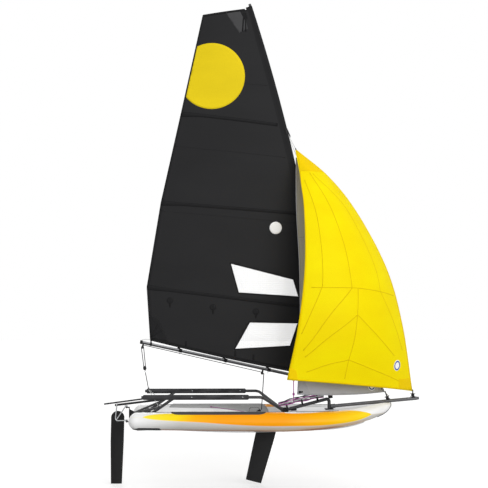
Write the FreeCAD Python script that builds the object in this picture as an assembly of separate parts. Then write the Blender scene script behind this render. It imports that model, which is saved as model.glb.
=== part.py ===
import FreeCAD, Part
import math
import os
from FreeCAD import Vector

# Two-tube inflatable sailing dinghy with an aluminium frame, two hiking racks, a bent sleeve-sail
# rig, a jib, a gennaker on a fixed bowsprit, a daggerboard and a kick-up rudder.
# Frame: X forward, Y to port, Z up; origin on the waterline, amidships. All sizes in millimetres.

# ---- Hull -------------------------------------------------------------------------------------
STERN_X = -1795.0             # aft end of the side tubes
BOW_X = 1845.0                # stem
TUBE_DIAMETER = 270.0
TUBE_HALF_SPACING = 685.0     # centreline to the axis of a side tube
TUBE_AXIS_Z = 125.0
BEND_START_X = 300.0          # the tubes are straight and parallel aft of this
TAPER_START_X = 980.0         # forward of this they also climb and grow thinner
STEM_HALF_SPACING = 12.0      # between the stem's centreline and the end of a tube's axis
BOW_RISE = 178.0              # how far the tube axes climb to the stem
# along the taper from its start to the stem: place, share of the diameter, share of the rise
BOW_STATIONS = (
    (0.00, 1.00, 0.00),
    (0.34, 0.96, 0.13),
    (0.66, 0.80, 0.47),
    (0.88, 0.50, 0.81),
    (1.00, 0.15, 1.00),
)
FLOOR_TOP_Z = 100.0
FLOOR_AFT_X = -1660.0
FLOOR_EDGE = 8.0              # least thickness of the floor where it meets the tubes
FLOOR_REACH = 0.84            # how far down a tube the floor's bottom meets it, by its radius
KEEL_DEPTH = 72.0             # deepest keel below the waterline
CHINE_RISE = 2.0              # least height of the floor's bottom edge above its keel
# share of the floor's length, keel height as a share of the depth
KEEL_STATIONS = ((0.0, -0.30), (0.30, -0.92), (0.60, -1.00), (0.80, -0.45), (0.92, 0.25), (1.0, 1.05))
FLOOR_FORWARD_X = 1440.0
FOREDECK_AFT_X = 452.0
FOREDECK_FORWARD_X = 1690.0
FOREDECK_Z = 226.0            # height of its aft end
FOREDECK_RISE = 84.0          # how much higher it is at its forward end
FOREDECK_STATIONS = (0.0, 0.45, 0.78, 1.0)
FOREDECK_LIFT = 0.55          # how far its underside has left the floor at its forward end
SEAT_GAP = 0.3                # between pieces that rest on each other without a fixing
PAD_THICKNESS = 4.0
PAD_AFT_X = -1230.0
PAD_FORWARD_X = 180.0
PAD_ANGLES = (62.0, 168.0)    # arc of tube that a pad covers, from outboard over the crest
SKID_LENGTH = 360.0
SKID_WIDTH = 70.0
SKID_THICKNESS = 6.0

# ---- Racks and frame --------------------------------------------------------------------------
RAIL_HALF_SPACING = 620.0
RAIL_Z = 456.0
RAIL_DIAMETER = 40.0
RAIL_AFT_X = -1600.0
RAIL_FORWARD_X = -40.0        # joint of the rail and its forward brace
BRACE_CORNER_X = 20.0
BRACE_BEND = 90.0
SLEEVE_DIAMETER = 56.0
SLEEVE_AFT_X = -1580.0
SLEEVE_FORWARD_X = -168.0
LEG_TOP_X = -1150.0
LEG_FOOT_X = -1560.0
LEG_DIAMETER = 38.0
LEG_SADDLE_ANGLE = 160.0      # where the leg meets the tube, from outboard over the crest
SADDLE_DIAMETER = 96.0
SADDLE_THICKNESS = 9.0
SADDLE_SKIRT = 14.0           # depth of the saddle's rim round the curve of the tube
STRUT_DIAMETER = 30.0
STRUT_SHARE = 0.46            # how far down the leg a stern strut is fixed
STRUT_END_Z = 188.0           # where it meets the web of the stern bracket
NODE_X = 378.0
NODE_Z = 205.0
NODE_DIAMETER = 76.0
NODE_WALL = 6.0
NODE_CROWN = 62.0             # height of the hub above the crossing of its sockets
SOCKET_LENGTH = 74.0
MAST_STRUT_DIAMETER = 46.0
MAST_STRUT_BEND = 34.0
STRUT_RISE = 30.0             # how far the mast strut starts above the rack braces
POST_ARM = 90.0               # length of the post's sloping end
MAST_FOOT = Vector(996.0, 0.0, 439.0)
STEP_CUP_WALL = 7.0
STEP_CUP_DEPTH = 44.0         # from the mast's foot down to the strut
POST_SETBACK = 14.0           # how far aft of the mast's foot the post stands
POST_DROP = 24.0              # between the mast's foot and the top of the strut's corner
STEP_PLATE_LENGTH = 113.0
STEP_PLATE_WIDTH = 150.0
PLATE_THICKNESS = 9.0
BOWSPRIT_AFT_X = 1004.0
BOWSPRIT_TIP = Vector(2237.0, 0.0, 394.0)
BOWSPRIT_DIAMETER = 48.0
TIP_PLUG_DIAMETER = 40.0      # turned-down end that a ring or block clamps on
TIP_PLUG_LENGTH = 24.0
COLLAR_DIAMETER = 60.0
COLLAR_LENGTH = 62.0
JIB_TACK = Vector(1762.0, 0.0, 494.0)
GENNAKER_TACK = Vector(2152.0, 0.0, 512.0)
DRUM_DIAMETER = 76.0
DRUM_HEIGHT = 44.0
DRUM_FLANGE = 4.0
DRUM_CORE = 0.6               # diameter of the drum between its flanges, by the flanges'
DRUM_STAND = 8.0              # from the pole up to the lower flange
FURLER_STEM = 16.0

# ---- Daggerboard ------------------------------------------------------------------------------
BOARD_CHORD = 270.0
BOARD_TIP_CHORD = 219.0
BOARD_THICKNESS = 24.0
BOARD_RAKE = 14.6             # degrees from upright, foot aft
BOARD_CENTRE_X = 146.0        # middle of the board at floor height
BOARD_DEPTH = 880.0           # below the floor's top, along the rake
BOARD_CLEARANCE = 6.0
CASE_WALL = 7.0
CASE_STAND = 14.0             # the case's rim above the floor
RIM_WIDTH = 16.0
RIM_THICKNESS = 5.0
RIM_BOTTOM_Z = -68.0          # the case ends flush with the keel
HEAD_LENGTH = 236.0
HEAD_WIDTH = 52.0
HEAD_THICKNESS = 22.0
GRIP_LENGTH = 176.0
GRIP_HEIGHT = 52.0
GRIP_WIDTH = 20.0
GRIP_POSTS = 28.0             # length of each end of the handle
GRIP_GAP = 10.0               # under the hand
GRIP_BAR = 14.0
NOSE_SHARE = 0.34             # nose radius of both foils, by their thickness
TAIL_HALF = 2.0               # half the thickness of their trailing edges

# ---- Sheet base -------------------------------------------------------------------------------
BASE_DIAMETER = 54.0
BASE_HEIGHT = 10.0
BASE_GAP = 4.0                # from the rim of the board's case
BASE_POST = 24.0
CHEEK_Z = 168.0               # lower edge of the cheeks on the post
CHEEK_THICKNESS = 3.0
SHEAVE_Z = 224.0
SHEAVE_DIAMETER = 38.0
SHEAVE_WIDTH = 12.0
SHEAVE_GROOVE = 4.0
SHEAVE_PIN = 8.0
CLEAT_REACH = 66.0            # of the arm behind the post, to the cleat
CLEAT_Z = 196.0
ARM_WIDTH = 34.0
ARM_THICKNESS = 5.0
CAM_DIAMETER = 15.0
CAM_HEIGHT = 13.0
BAIL_WIDTH = 9.0
BAIL_THICKNESS = 4.0
BAIL_SLOPE = 20.0             # how far the strap's shoulders are cut back
BAIL_TOP_Z = 270.0
LINE_DIAMETER = 7.0
LINE_KNOT = 16.0
KNOT_STAND = 0.70             # from the pad to the middle of the knot, by its diameter
LINE_END_X = -655.0           # where the side line is knotted at the port pad
LINE_END_ANGLE = 135.0        # on the tube, from outboard over the crest

# ---- Rudder -----------------------------------------------------------------------------------
PINTLE_X = -1828.0
PINTLE_DIAMETER = 10.0
PIN_GAP = 0.1                 # running clearance round every pin
UPPER_GUDGEON_Z = 266.0
LOWER_GUDGEON_Z = 70.0
GUDGEON_HEIGHT = 16.0
GUDGEON_DIAMETER = 30.0
BRACKET_FACE_X = -1796.0
BRACKET_THICKNESS = 9.0
BRACKET_WIDTH = 60.0
WEB_LENGTH = 66.0
WEB_THICKNESS = 22.0
# the web's outline: share of its length, height
WEB_OUTLINE = ((0.0, 120.0), (0.4, 120.0), (1.0, 168.0), (1.0, 216.0), (0.0, 250.0))
STOCK_TUBE = 16.0
STOCK_HEAD = Vector(-1964.0, 0.0, 326.0)
STOCK_HEEL = Vector(-1984.0, 0.0, 92.0)
STOCK_BEND = 34.0
STOCK_BAR = 14.0              # bar across the head of the stock
STOCK_BAR_DROP = 14.0         # below the head
PINTLE_BLOCK = 21.0           # height of the blocks that carry the pintles
PINTLE_BOSS = 26.0
PINTLE_REACH = 8.0            # of each pintle below its gudgeon
BRACE_FOOT = Vector(-19.0, 0.0, -30.0)  # lower end of a stock brace, from the blade's bolt
BRACE_INSET = 14.0            # its upper end, aft of the pintles
BLADE_THICKNESS = 26.0
BLADE_CLEARANCE = 5.5
BLADE_PIVOT = Vector(-1951.0, 0.0, 134.0)
BLADE_HEAD_RADIUS = 92.0
BLADE_TIP_Z = -775.0
BLADE_BOLT = 12.0
# below the bolt: height, how far the nose and the tail draw in, share of the thickness
BLADE_LEVELS = ((-200.0, 8.0, 6.0, 0.9), (BLADE_TIP_Z, 32.0, 0.0, 0.7))
TILLER_AFT = Vector(-1992.0, 0.0, 305.0)
TILLER_SLOPE = 0.1175
TILLER_FORWARD_X = -1228.0
TILLER_DIAMETER = 30.0
EXTENSION_PIVOT_RISE = 46.0   # above the tiller's axis
EXTENSION_TIP = Vector(-2141.0, 0.0, 320.0)
EXTENSION_DIAMETER = 22.0
EXTENSION_LEAN = 30.0         # degrees that the universal joint leans aft
EYE_HEIGHT = 22.0
EYE_DIAMETER = 26.0
EYE_PIN = 8.0
EYE_PIN_HEAD = 3.0
JOINT_LENGTH = 22.0           # of the joint's post that the tiller's end leaves free
POST_DIAMETER = 20.0
POST_ROOM = 6.0               # round the joint's post, for the extension to turn over it

# ---- Rig --------------------------------------------------------------------------------------
MAST_TOP_Z = 5912.0
MAST_LEAN = 5.05              # degrees aft at the foot
MAST_BEND_RADIUS = 24600.0
MAST_DIAMETER = 50.0
TOPMAST_DIAMETER = 38.0
MAST_JOINT_Z = 3080.0
HOUNDS_Z = 4116.0
SLEEVE_CLOTH = 3.0
LUFF_SLEEVE_FOOT_Z = 690.0
SLEEVE_END = 30.0             # bare mast above the sleeve
FOOT_PLUG = 46.0              # height of the plug in the mast's foot
FOOT_PLUG_WALL = 3.0
STEP_PIN = 20.0
STEP_PIN_RISE = 22.0
HOUNDS_HEIGHT = 80.0
HOUNDS_WALL = 6.0
# forward lug for the halyards: forward of and above the hounds' centre
LUG_OUTLINE = (
    (0.0, 34.0),
    (30.0, 20.0),
    (46.0, -78.0),
    (40.0, -92.0),
    (28.0, -92.0),
    (25.0, -38.0),
    (0.0, -36.0),
)
LUG_THICKNESS = 10.0
LUG_HOLE = 9.0
LUG_HOLE_PLACE = (37.0, -81.0)
BOOM_FORWARD_Z = 607.0
BOOM_AFT = Vector(-1634.0, 0.0, 1177.0)
BOOM_DIAMETER = 44.0
GOOSENECK_HEIGHT = 60.0
GOOSENECK_WALL = 7.0
JAW_LENGTH = 34.0             # from the mast's side to the boom
JAW_SHARE = 0.8               # the jaw's diameter by the boom's
CAP_LENGTH = 24.0
CAP_END = 12.0
CAP_WALL = 4.0
BAND_XS = (-1088.0, -457.0, 138.0)
BAND_WIDTH = 34.0
BAND_WALL = 3.0
HANGER_THICKNESS = 5.0
HANGER_EYE = 13.0             # width of the hanger across the sheet's eye
SHEET_DROP = 46.0             # from the boom's axis down to the sheet that runs under it
SHEET_DIAMETER = 7.0
SHEET_SINK = 2.0              # how deep it lies between the rims of a sheave
BLOCK_XS = (-1598.0, 63.0)    # the blocks that turn the sheet down at each end
BLOCK_NECK = 16.0             # width of their cheeks where they hang from the boom
SAIL_THICKNESS = 5.0
MAINSAIL_CAMBER = 0.035
# luff height, leech x and z; from the foot up
MAINSAIL_STATIONS = (
    (700.0, -1507.0, 1219.0),
    (1640.0, -1556.0, 1939.0),
    (2957.0, -1364.0, 3113.0),
    (4199.0, -1088.0, 4355.0),
    (5840.0, -781.0, 5754.0),
)
BATTEN_STATIONS = (1, 2, 3)
BATTEN_POCKET = 46.0
BATTEN_THICKNESS = 13.0
JIB_STATIONS = (
    # luff x, y, z; leech x, y, z; camber
    (tuple(JIB_TACK), (507.0, -500.0, 500.0), 0.085),
    ((1480.0, -40.0, 1250.0), (575.0, -470.0, 1240.0), 0.11),
    ((1120.0, -44.0, 2180.0), (580.0, -330.0, 2180.0), 0.11),
    ((780.0, -28.0, 3060.0), (540.0, -150.0, 3060.0), 0.10),
    ((576.0, -8.0, 3740.0), (534.0, -20.0, 3740.0), 0.05),
)
GENNAKER_STATIONS = (
    (tuple(GENNAKER_TACK), (342.0, -900.0, 707.0), 0.12),
    ((1982.0, -230.0, 1400.0), (482.0, -960.0, 1420.0), 0.16),
    ((1763.0, -270.0, 2180.0), (576.0, -880.0, 2200.0), 0.18),
    ((1367.0, -230.0, 2950.0), (588.0, -640.0, 2960.0), 0.18),
    ((976.0, -130.0, 3470.0), (556.0, -330.0, 3470.0), 0.15),
    ((575.0, -12.0, 3840.0), (522.0, -34.0, 3840.0), 0.05),
)

UP = Vector(0, 0, 1)
FORWARD = Vector(1, 0, 0)
PORT = Vector(0, 1, 0)
ORIGIN = Vector(0, 0, 0)
FAR = 6000.0                  # larger than the boat, for trimming blocks


# ---- Helpers ----------------------------------------------------------------------------------
def unit(vector):
    """The vector's direction, leaving the vector itself unchanged."""
    return vector * (1.0 / vector.Length)


def rod(start, end, diameter):
    """Straight round bar from one point to another."""
    run = end - start
    return Part.makeCylinder(diameter / 2, run.Length, start, run)


def block(x_range, y_range, z_range):
    """Box between two limits on each axis."""
    size = [high - low for low, high in (x_range, y_range, z_range)]
    return Part.makeBox(*size, Vector(x_range[0], y_range[0], z_range[0]))


def bent_tube(points, diameter, bend):
    """Round tube along straight runs that are joined by bends of one radius."""
    pieces = []
    start = points[0]
    for before, corner, after in zip(points, points[1:], points[2:]):
        arriving = unit(corner - before)
        leaving = unit(after - corner)
        turn = arriving.getAngle(leaving)
        trim = bend * math.tan(turn / 2)
        end = corner - arriving * trim
        axis = unit(arriving.cross(leaving))
        centre = end + axis.cross(arriving) * bend
        section = Part.Face(Part.Wire(Part.makeCircle(diameter / 2, end, arriving)))
        pieces.append(rod(start, end, diameter))
        pieces.append(section.revolve(centre, axis, math.degrees(turn)))
        start = corner + leaving * trim
    pieces.append(rod(start, points[-1], diameter))
    return pieces[0].fuse(pieces[1:])


def plate(outline, thickness, normal=PORT):
    """Flat plate whose outline is a closed list of points, centred on their plane."""
    shifted = [point - normal * (thickness / 2) for point in outline]
    return Part.Face(Part.makePolygon(shifted + shifted[:1])).extrude(normal * thickness)


def mirrored(shape):
    """The same piece on the other side of the boat."""
    return shape.mirror(ORIGIN, PORT)


def sail_section(luff, leech, camber, thickness):
    """Thin cambered strip of cloth: two arcs from luff to leech, bellied to starboard."""
    chord = leech - luff
    belly = unit(chord.cross(UP)) * -1.0
    if belly.y > 0:
        belly = belly * -1.0
    crown = (luff + leech) * 0.5 + belly * (chord.Length * camber)
    half = belly * (thickness / 2)
    outer = Part.Arc(luff + half, crown + half, leech + half).toShape()
    inner = Part.Arc(leech - half, crown - half, luff - half).toShape()
    trailing = Part.makeLine(leech + half, leech - half)
    leading = Part.makeLine(luff - half, luff + half)
    return Part.Wire([outer, trailing, inner, leading])


# ---- Hull -------------------------------------------------------------------------------------
def bend_radius():
    """Radius of the arc, seen from above, that brings the tubes together at the stem."""
    run = BOW_X - BEND_START_X
    inward = TUBE_HALF_SPACING - STEM_HALF_SPACING
    return (run * run + inward * inward) / (2 * inward)


def tube_state(x):
    """Axis point and radius of the port tube at a given x, and the angle it has turned inward."""
    if x <= BEND_START_X:
        return Vector(x, TUBE_HALF_SPACING, TUBE_AXIS_Z), TUBE_DIAMETER / 2, 0.0
    turned = math.asin((x - BEND_START_X) / bend_radius())
    spread = TUBE_HALF_SPACING - bend_radius() * (1 - math.cos(turned))
    share = max(0.0, (x - TAPER_START_X) / (BOW_X - TAPER_START_X))
    girth, climb = 1.0, 0.0
    for low, high in zip(BOW_STATIONS, BOW_STATIONS[1:]):
        if low[0] <= share <= high[0]:
            part = (share - low[0]) / (high[0] - low[0])
            girth = low[1] + (high[1] - low[1]) * part
            climb = low[2] + (high[2] - low[2]) * part
    return Vector(x, spread, TUBE_AXIS_Z + climb * BOW_RISE), girth * TUBE_DIAMETER / 2, turned


def side_tube_form(growth=0.0):
    """Whole port side tube: a dome, a straight run, an inward bend and a tapering, rising bow."""
    radius = TUBE_DIAMETER / 2 + growth
    dome_x = STERN_X + TUBE_DIAMETER / 2
    axis_start = Vector(dome_x, TUBE_HALF_SPACING, TUBE_AXIS_Z)
    dome = Part.makeSphere(radius, axis_start)
    run = Part.makeCylinder(radius, BEND_START_X - dome_x, axis_start, FORWARD)
    bend_start = Vector(BEND_START_X, TUBE_HALF_SPACING, TUBE_AXIS_Z)
    section = Part.Face(Part.Wire(Part.makeCircle(radius, bend_start, FORWARD)))
    turned = math.degrees(tube_state(TAPER_START_X)[2])
    bend = section.revolve(bend_start - PORT * bend_radius(), UP * -1.0, turned)
    rings = []
    for along, girth, climb in BOW_STATIONS:
        centre, ring_radius, turned = tube_state(TAPER_START_X + along * (BOW_X - TAPER_START_X))
        ahead = Vector(math.cos(turned), -math.sin(turned), 0)
        rings.append(Part.Wire(Part.makeCircle(ring_radius + growth, centre, ahead)))
    bow = Part.makeLoft(rings, True, False)
    return dome.fuse([run, bend, bow])


def side_tube():
    """Port side tube, trimmed on the centreline where it meets its twin at the stem."""
    return side_tube_form().common(block((-FAR, FAR), (0, FAR), (-FAR, FAR)))


def floor_section(x, keel_z):
    """V-bottomed floor section that runs under the side tubes on both sides."""
    axis, radius, _ = tube_state(x)
    spread = axis.y
    chine_z = max(min(axis.z - radius * FLOOR_REACH, FLOOR_TOP_Z - FLOOR_EDGE), keel_z + CHINE_RISE)
    corners = [
        (0.0, keel_z),
        (spread, chine_z),
        (spread, FLOOR_TOP_Z),
        (-spread, FLOOR_TOP_Z),
        (-spread, chine_z),
    ]
    points = [Vector(x, y, z) for y, z in corners]
    return Part.makePolygon(points + points[:1])


def hull_floor(tube_forms, slot):
    """Inflated floor between the tubes, with the daggerboard's slot through it."""
    sections = []
    for along, depth in KEEL_STATIONS:
        x = FLOOR_AFT_X + along * (FLOOR_FORWARD_X - FLOOR_AFT_X)
        sections.append(floor_section(x, depth * KEEL_DEPTH))
    return Part.makeLoft(sections, True, False).cut(tube_forms + [slot])


def foredeck(tube_forms, floor):
    """Raised deck that closes the bow between the tubes, on top of the floor."""
    length = FOREDECK_FORWARD_X - FOREDECK_AFT_X
    sections = []
    for share in FOREDECK_STATIONS:
        x = FOREDECK_AFT_X + share * length
        spread = tube_state(x)[0].y
        top = FOREDECK_Z + FOREDECK_RISE * share ** 2
        under = FLOOR_TOP_Z + FOREDECK_LIFT * (top - FLOOR_TOP_Z) * share ** 3
        corners = [(-spread, under), (spread, under), (spread, top), (-spread, top)]
        points = [Vector(x, y, z) for y, z in corners]
        sections.append(Part.makePolygon(points + points[:1]))
    return Part.makeLoft(sections, True, False).cut(tube_forms + [floor])


def deck_pad():
    """Thin non-slip pad wrapped over the inboard side of the port tube."""
    radius = TUBE_DIAMETER / 2
    start = Vector(PAD_AFT_X, TUBE_HALF_SPACING, TUBE_AXIS_Z)
    low, high = (math.radians(angle) for angle in PAD_ANGLES)
    middle = (low + high) / 2
    edges = []
    rim = []
    for reach in (radius + SEAT_GAP, radius + PAD_THICKNESS):
        arc = [start + Vector(0, math.cos(a) * reach, math.sin(a) * reach) for a in (low, middle, high)]
        edges.append(Part.Arc(*arc).toShape())
        rim.append((arc[0], arc[2]))
    edges.append(Part.makeLine(rim[0][0], rim[1][0]))
    edges.append(Part.makeLine(rim[0][1], rim[1][1]))
    face = Part.Face(Part.Wire(Part.__sortEdges__(edges)))
    return face.extrude(FORWARD * (PAD_FORWARD_X - PAD_AFT_X))


def skid_strip():
    """Rubber strip under the aft end of the port tube."""
    radius = TUBE_DIAMETER / 2
    start = Vector(STERN_X + radius, TUBE_HALF_SPACING, TUBE_AXIS_Z)
    shell = Part.makeCylinder(radius + SKID_THICKNESS, SKID_LENGTH, start, FORWARD)
    shell = shell.cut(Part.makeCylinder(radius + SEAT_GAP, SKID_LENGTH, start, FORWARD))
    middle = TUBE_HALF_SPACING
    return shell.common(block((-FAR, FAR), (middle - SKID_WIDTH / 2, middle + SKID_WIDTH / 2), (-FAR, 0)))


# ---- Daggerboard ------------------------------------------------------------------------------
def board_place(shape):
    """Leans a shape drawn upright at the origin into the board's raked place."""
    leaning = shape.copy()
    leaning.rotate(ORIGIN, PORT, BOARD_RAKE)
    leaning.translate(Vector(BOARD_CENTRE_X, 0, FLOOR_TOP_Z))
    return leaning


def case_block(growth, low, high):
    """Upright block around the board's section, larger by a growth on every side."""
    chord = BOARD_CHORD / 2 + BOARD_CLEARANCE + growth
    across = BOARD_THICKNESS / 2 + BOARD_CLEARANCE + growth
    return board_place(block((-chord, chord), (-across, across), (low, high)))


def case_tube():
    """Raked tube round the board, from the bottom of the hull to above the floor."""
    tube = case_block(CASE_WALL, -FAR / 10, FAR / 10)
    return tube.common(block((-FAR, FAR), (-FAR, FAR), (RIM_BOTTOM_Z, FLOOR_TOP_Z + CASE_STAND)))


def case_rim():
    """Flange of that tube, which lies on the floor."""
    bounds = case_tube().common(block((-FAR, FAR), (-FAR, FAR), (FLOOR_TOP_Z, FAR))).BoundBox
    return block(
        (bounds.XMin - RIM_WIDTH, bounds.XMax + RIM_WIDTH),
        (bounds.YMin - RIM_WIDTH, bounds.YMax + RIM_WIDTH),
        (FLOOR_TOP_Z, FLOOR_TOP_Z + RIM_THICKNESS),
    )


def daggerboard_case():
    """The board's case: the raked tube and its flange, open right through."""
    return case_tube().fuse(case_rim()).cut(case_block(0.0, -FAR, FAR))


def foil_section(chord, thickness, z, middle):
    """Foil section with a round nose and bowed sides, at one height of an upright board."""
    nose = chord / 2 + middle
    tail = -chord / 2 + middle
    blunt = thickness * NOSE_SHARE
    shoulder = nose - blunt
    fullest = nose - chord * 0.35
    rim = [Vector(shoulder, blunt, z), Vector(nose, 0, z), Vector(shoulder, -blunt, z)]
    ends = [Vector(tail, TAIL_HALF, z), Vector(tail, -TAIL_HALF, z)]
    sides = [Vector(fullest, thickness / 2, z), Vector(fullest, -thickness / 2, z)]
    return Part.Wire([
        Part.Arc(rim[0], rim[1], rim[2]).toShape(),
        Part.Arc(rim[2], sides[1], ends[1]).toShape(),
        Part.makeLine(ends[1], ends[0]),
        Part.Arc(ends[0], sides[0], rim[0]).toShape(),
    ])


def daggerboard():
    """Tapered foil that slides up through its case, with a stop head that rests on the rim."""
    straight = foil_section(BOARD_CHORD, BOARD_THICKNESS, CASE_STAND + 10.0, 0.0)
    shoulder = foil_section(BOARD_CHORD, BOARD_THICKNESS, -250.0, 0.0)
    tip = foil_section(BOARD_TIP_CHORD, BOARD_THICKNESS * 0.8, -BOARD_DEPTH, 4.0)
    foil = Part.makeLoft([straight, shoulder], True, True).fuse(Part.makeLoft([shoulder, tip], True, True))
    foil = board_place(foil)
    low = FLOOR_TOP_Z + CASE_STAND + SEAT_GAP
    high = low + HEAD_THICKNESS
    middle = BOARD_CENTRE_X + (low - FLOOR_TOP_Z) * math.tan(math.radians(BOARD_RAKE))
    half = HEAD_LENGTH / 2
    head = block((middle - half, middle + half), (-HEAD_WIDTH / 2, HEAD_WIDTH / 2), (low, high))
    half = GRIP_LENGTH / 2
    side = GRIP_WIDTH / 2
    grip = block((middle - half, middle + half), (-side, side), (high, high + GRIP_HEIGHT))
    half = GRIP_LENGTH / 2 - GRIP_POSTS
    top = high + GRIP_HEIGHT
    hole = block((middle - half, middle + half), (-FAR, FAR), (high + GRIP_GAP, top - GRIP_BAR))
    return foil.fuse([head, grip.cut(hole)])


# ---- Racks and frame --------------------------------------------------------------------------
def rack_rail():
    """Straight rail of the port rack, with a closed aft end."""
    start = Vector(RAIL_AFT_X, RAIL_HALF_SPACING, RAIL_Z)
    return rod(start, Vector(RAIL_FORWARD_X, RAIL_HALF_SPACING, RAIL_Z), RAIL_DIAMETER)


def rack_brace():
    """Forward run of the port rack, bent down and inboard to the front node."""
    start = Vector(RAIL_FORWARD_X, RAIL_HALF_SPACING, RAIL_Z)
    corner = Vector(BRACE_CORNER_X, RAIL_HALF_SPACING, RAIL_Z)
    target = Vector(NODE_X, 0, NODE_Z)
    end = target + unit(corner - target) * (NODE_DIAMETER / 2 - NODE_WALL)
    return bent_tube([start, corner, end], RAIL_DIAMETER, BRACE_BEND)


def leg_line():
    """Top and foot of the port leg; the foot is on the saddle of the side tube."""
    angle = math.radians(LEG_SADDLE_ANGLE)
    outward = Vector(0, math.cos(angle), math.sin(angle))
    seat = Vector(LEG_FOOT_X, TUBE_HALF_SPACING, TUBE_AXIS_Z) + outward * (TUBE_DIAMETER / 2)
    return Vector(LEG_TOP_X, RAIL_HALF_SPACING, RAIL_Z), seat, outward


def rack_leg(rail):
    """Port leg from the rail down to a saddle on the side tube."""
    top, seat, outward = leg_line()
    leg = rod(top, seat, LEG_DIAMETER)
    skirt = seat - outward * SADDLE_SKIRT
    saddle = Part.makeCylinder(SADDLE_DIAMETER / 2, SADDLE_THICKNESS + SADDLE_SKIRT, skirt, outward)
    start = Vector(-FAR, TUBE_HALF_SPACING, TUBE_AXIS_Z)
    tube = Part.makeCylinder(TUBE_DIAMETER / 2, 2 * FAR, start, FORWARD)
    return leg.fuse(saddle).cut([rail, tube])


def grip_sleeve(leg):
    """Thick foam grip round the port rail, open where the leg passes through it."""
    start = Vector(SLEEVE_AFT_X, RAIL_HALF_SPACING, RAIL_Z)
    end = Vector(SLEEVE_FORWARD_X, RAIL_HALF_SPACING, RAIL_Z)
    bore = rod(start - FORWARD, end + FORWARD, RAIL_DIAMETER + 2 * SEAT_GAP)
    return rod(start, end, SLEEVE_DIAMETER).cut([bore, leg])


def stern_strut(leg, bracket):
    """Thin strut from the port leg to the rudder bracket."""
    top, seat, _ = leg_line()
    start = top + (seat - top) * STRUT_SHARE
    end = Vector(BRACKET_FACE_X + BRACKET_THICKNESS + WEB_LENGTH / 2, 0, STRUT_END_Z)
    return rod(start, end, STRUT_DIAMETER).cut([leg, bracket])


def strut_line():
    """Lower end, corner and upright foot of the tube that carries the mast."""
    start = Vector(NODE_X, 0, NODE_Z + STRUT_RISE)
    corner = MAST_FOOT - Vector(POST_SETBACK, 0, POST_DROP + MAST_STRUT_DIAMETER / 2)
    foot = Vector(corner.x, 0, step_plate_z())
    begin = start + unit(corner - start) * (NODE_DIAMETER / 2 - NODE_WALL)
    return begin, corner, foot


def mast_strut():
    """Straight tube from the front node up to the joint beside the mast's foot."""
    begin, corner, _ = strut_line()
    return rod(begin, corner - unit(corner - begin) * POST_ARM, MAST_STRUT_DIAMETER)


def mast_post():
    """Bent end of that tube, which carries the mast and stands on the foredeck."""
    begin, corner, foot = strut_line()
    start = corner - unit(corner - begin) * POST_ARM
    return bent_tube([start, corner, foot], MAST_STRUT_DIAMETER, MAST_STRUT_BEND)


def foredeck_z(x):
    """Height of the foredeck's top, by the same rule as its sections."""
    share = (x - FOREDECK_AFT_X) / (FOREDECK_FORWARD_X - FOREDECK_AFT_X)
    return FOREDECK_Z + FOREDECK_RISE * share ** 2


def front_node(pieces):
    """Hub on the floor with a socket for each rack brace and for the mast strut."""
    foot = Vector(NODE_X, 0, FLOOR_TOP_Z)
    hub = Part.makeCylinder(NODE_DIAMETER / 2, NODE_Z + NODE_CROWN - FLOOR_TOP_Z, foot)
    centre = Vector(NODE_X, 0, NODE_Z)
    corner = Vector(BRACE_CORNER_X, RAIL_HALF_SPACING, RAIL_Z)
    reach = NODE_DIAMETER / 2 + SOCKET_LENGTH
    sockets = []
    for side in (1.0, -1.0):
        aim = unit(Vector(corner.x, corner.y * side, corner.z) - centre)
        sockets.append(rod(centre, centre + aim * reach, RAIL_DIAMETER + 2 * NODE_WALL))
    return hub.fuse(sockets).cut(pieces)


def mast_step():
    """Cup under the mast with its pin, saddled on the corner of the post."""
    axis = hinge_axis()
    pin = rod(MAST_FOOT - axis * STEP_PIN, MAST_FOOT + axis * STEP_PIN_RISE, STEP_PIN)
    width = MAST_DIAMETER + 2 * STEP_CUP_WALL
    cup = rod(MAST_FOOT - axis * STEP_CUP_DEPTH, MAST_FOOT - axis * SEAT_GAP, width)
    return cup.fuse(pin).cut(mast_post())


def hinge_axis():
    """Direction of the line from the mast's foot to its hounds, which the rig turns about."""
    return unit(mast_centre(HOUNDS_Z) - MAST_FOOT)


def step_plate_z():
    """Top of the plate under the mast post."""
    return foredeck_z(MAST_FOOT.x - POST_SETBACK + STEP_PLATE_LENGTH / 2) + PLATE_THICKNESS


def step_plate(deck):
    """Level plate under the mast post, bedded on the sloping foredeck."""
    x = MAST_FOOT.x - POST_SETBACK
    top = step_plate_z()
    half = STEP_PLATE_LENGTH / 2
    wide = STEP_PLATE_WIDTH / 2
    return block((x - half, x + half), (-wide, wide), (top - 3 * PLATE_THICKNESS, top)).cut(deck)


def bowsprit_line():
    """Aft end of the bowsprit, on the step plate, and the direction it points."""
    aft = Vector(BOWSPRIT_AFT_X, 0, step_plate_z() + COLLAR_DIAMETER / 2)
    return aft, unit(BOWSPRIT_TIP - aft)


def bowsprit(post):
    """Straight pole over the bow, with a collar where it butts against the mast post."""
    aft, aim = bowsprit_line()
    shoulder = BOWSPRIT_TIP - aim * TIP_PLUG_LENGTH
    pole = rod(aft, shoulder, BOWSPRIT_DIAMETER)
    plug = rod(shoulder - aim * TIP_PLUG_LENGTH, BOWSPRIT_TIP, TIP_PLUG_DIAMETER)
    collar = rod(aft, aft + aim * COLLAR_LENGTH, COLLAR_DIAMETER)
    return pole.fuse([plug, collar]).cut(post)


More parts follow.
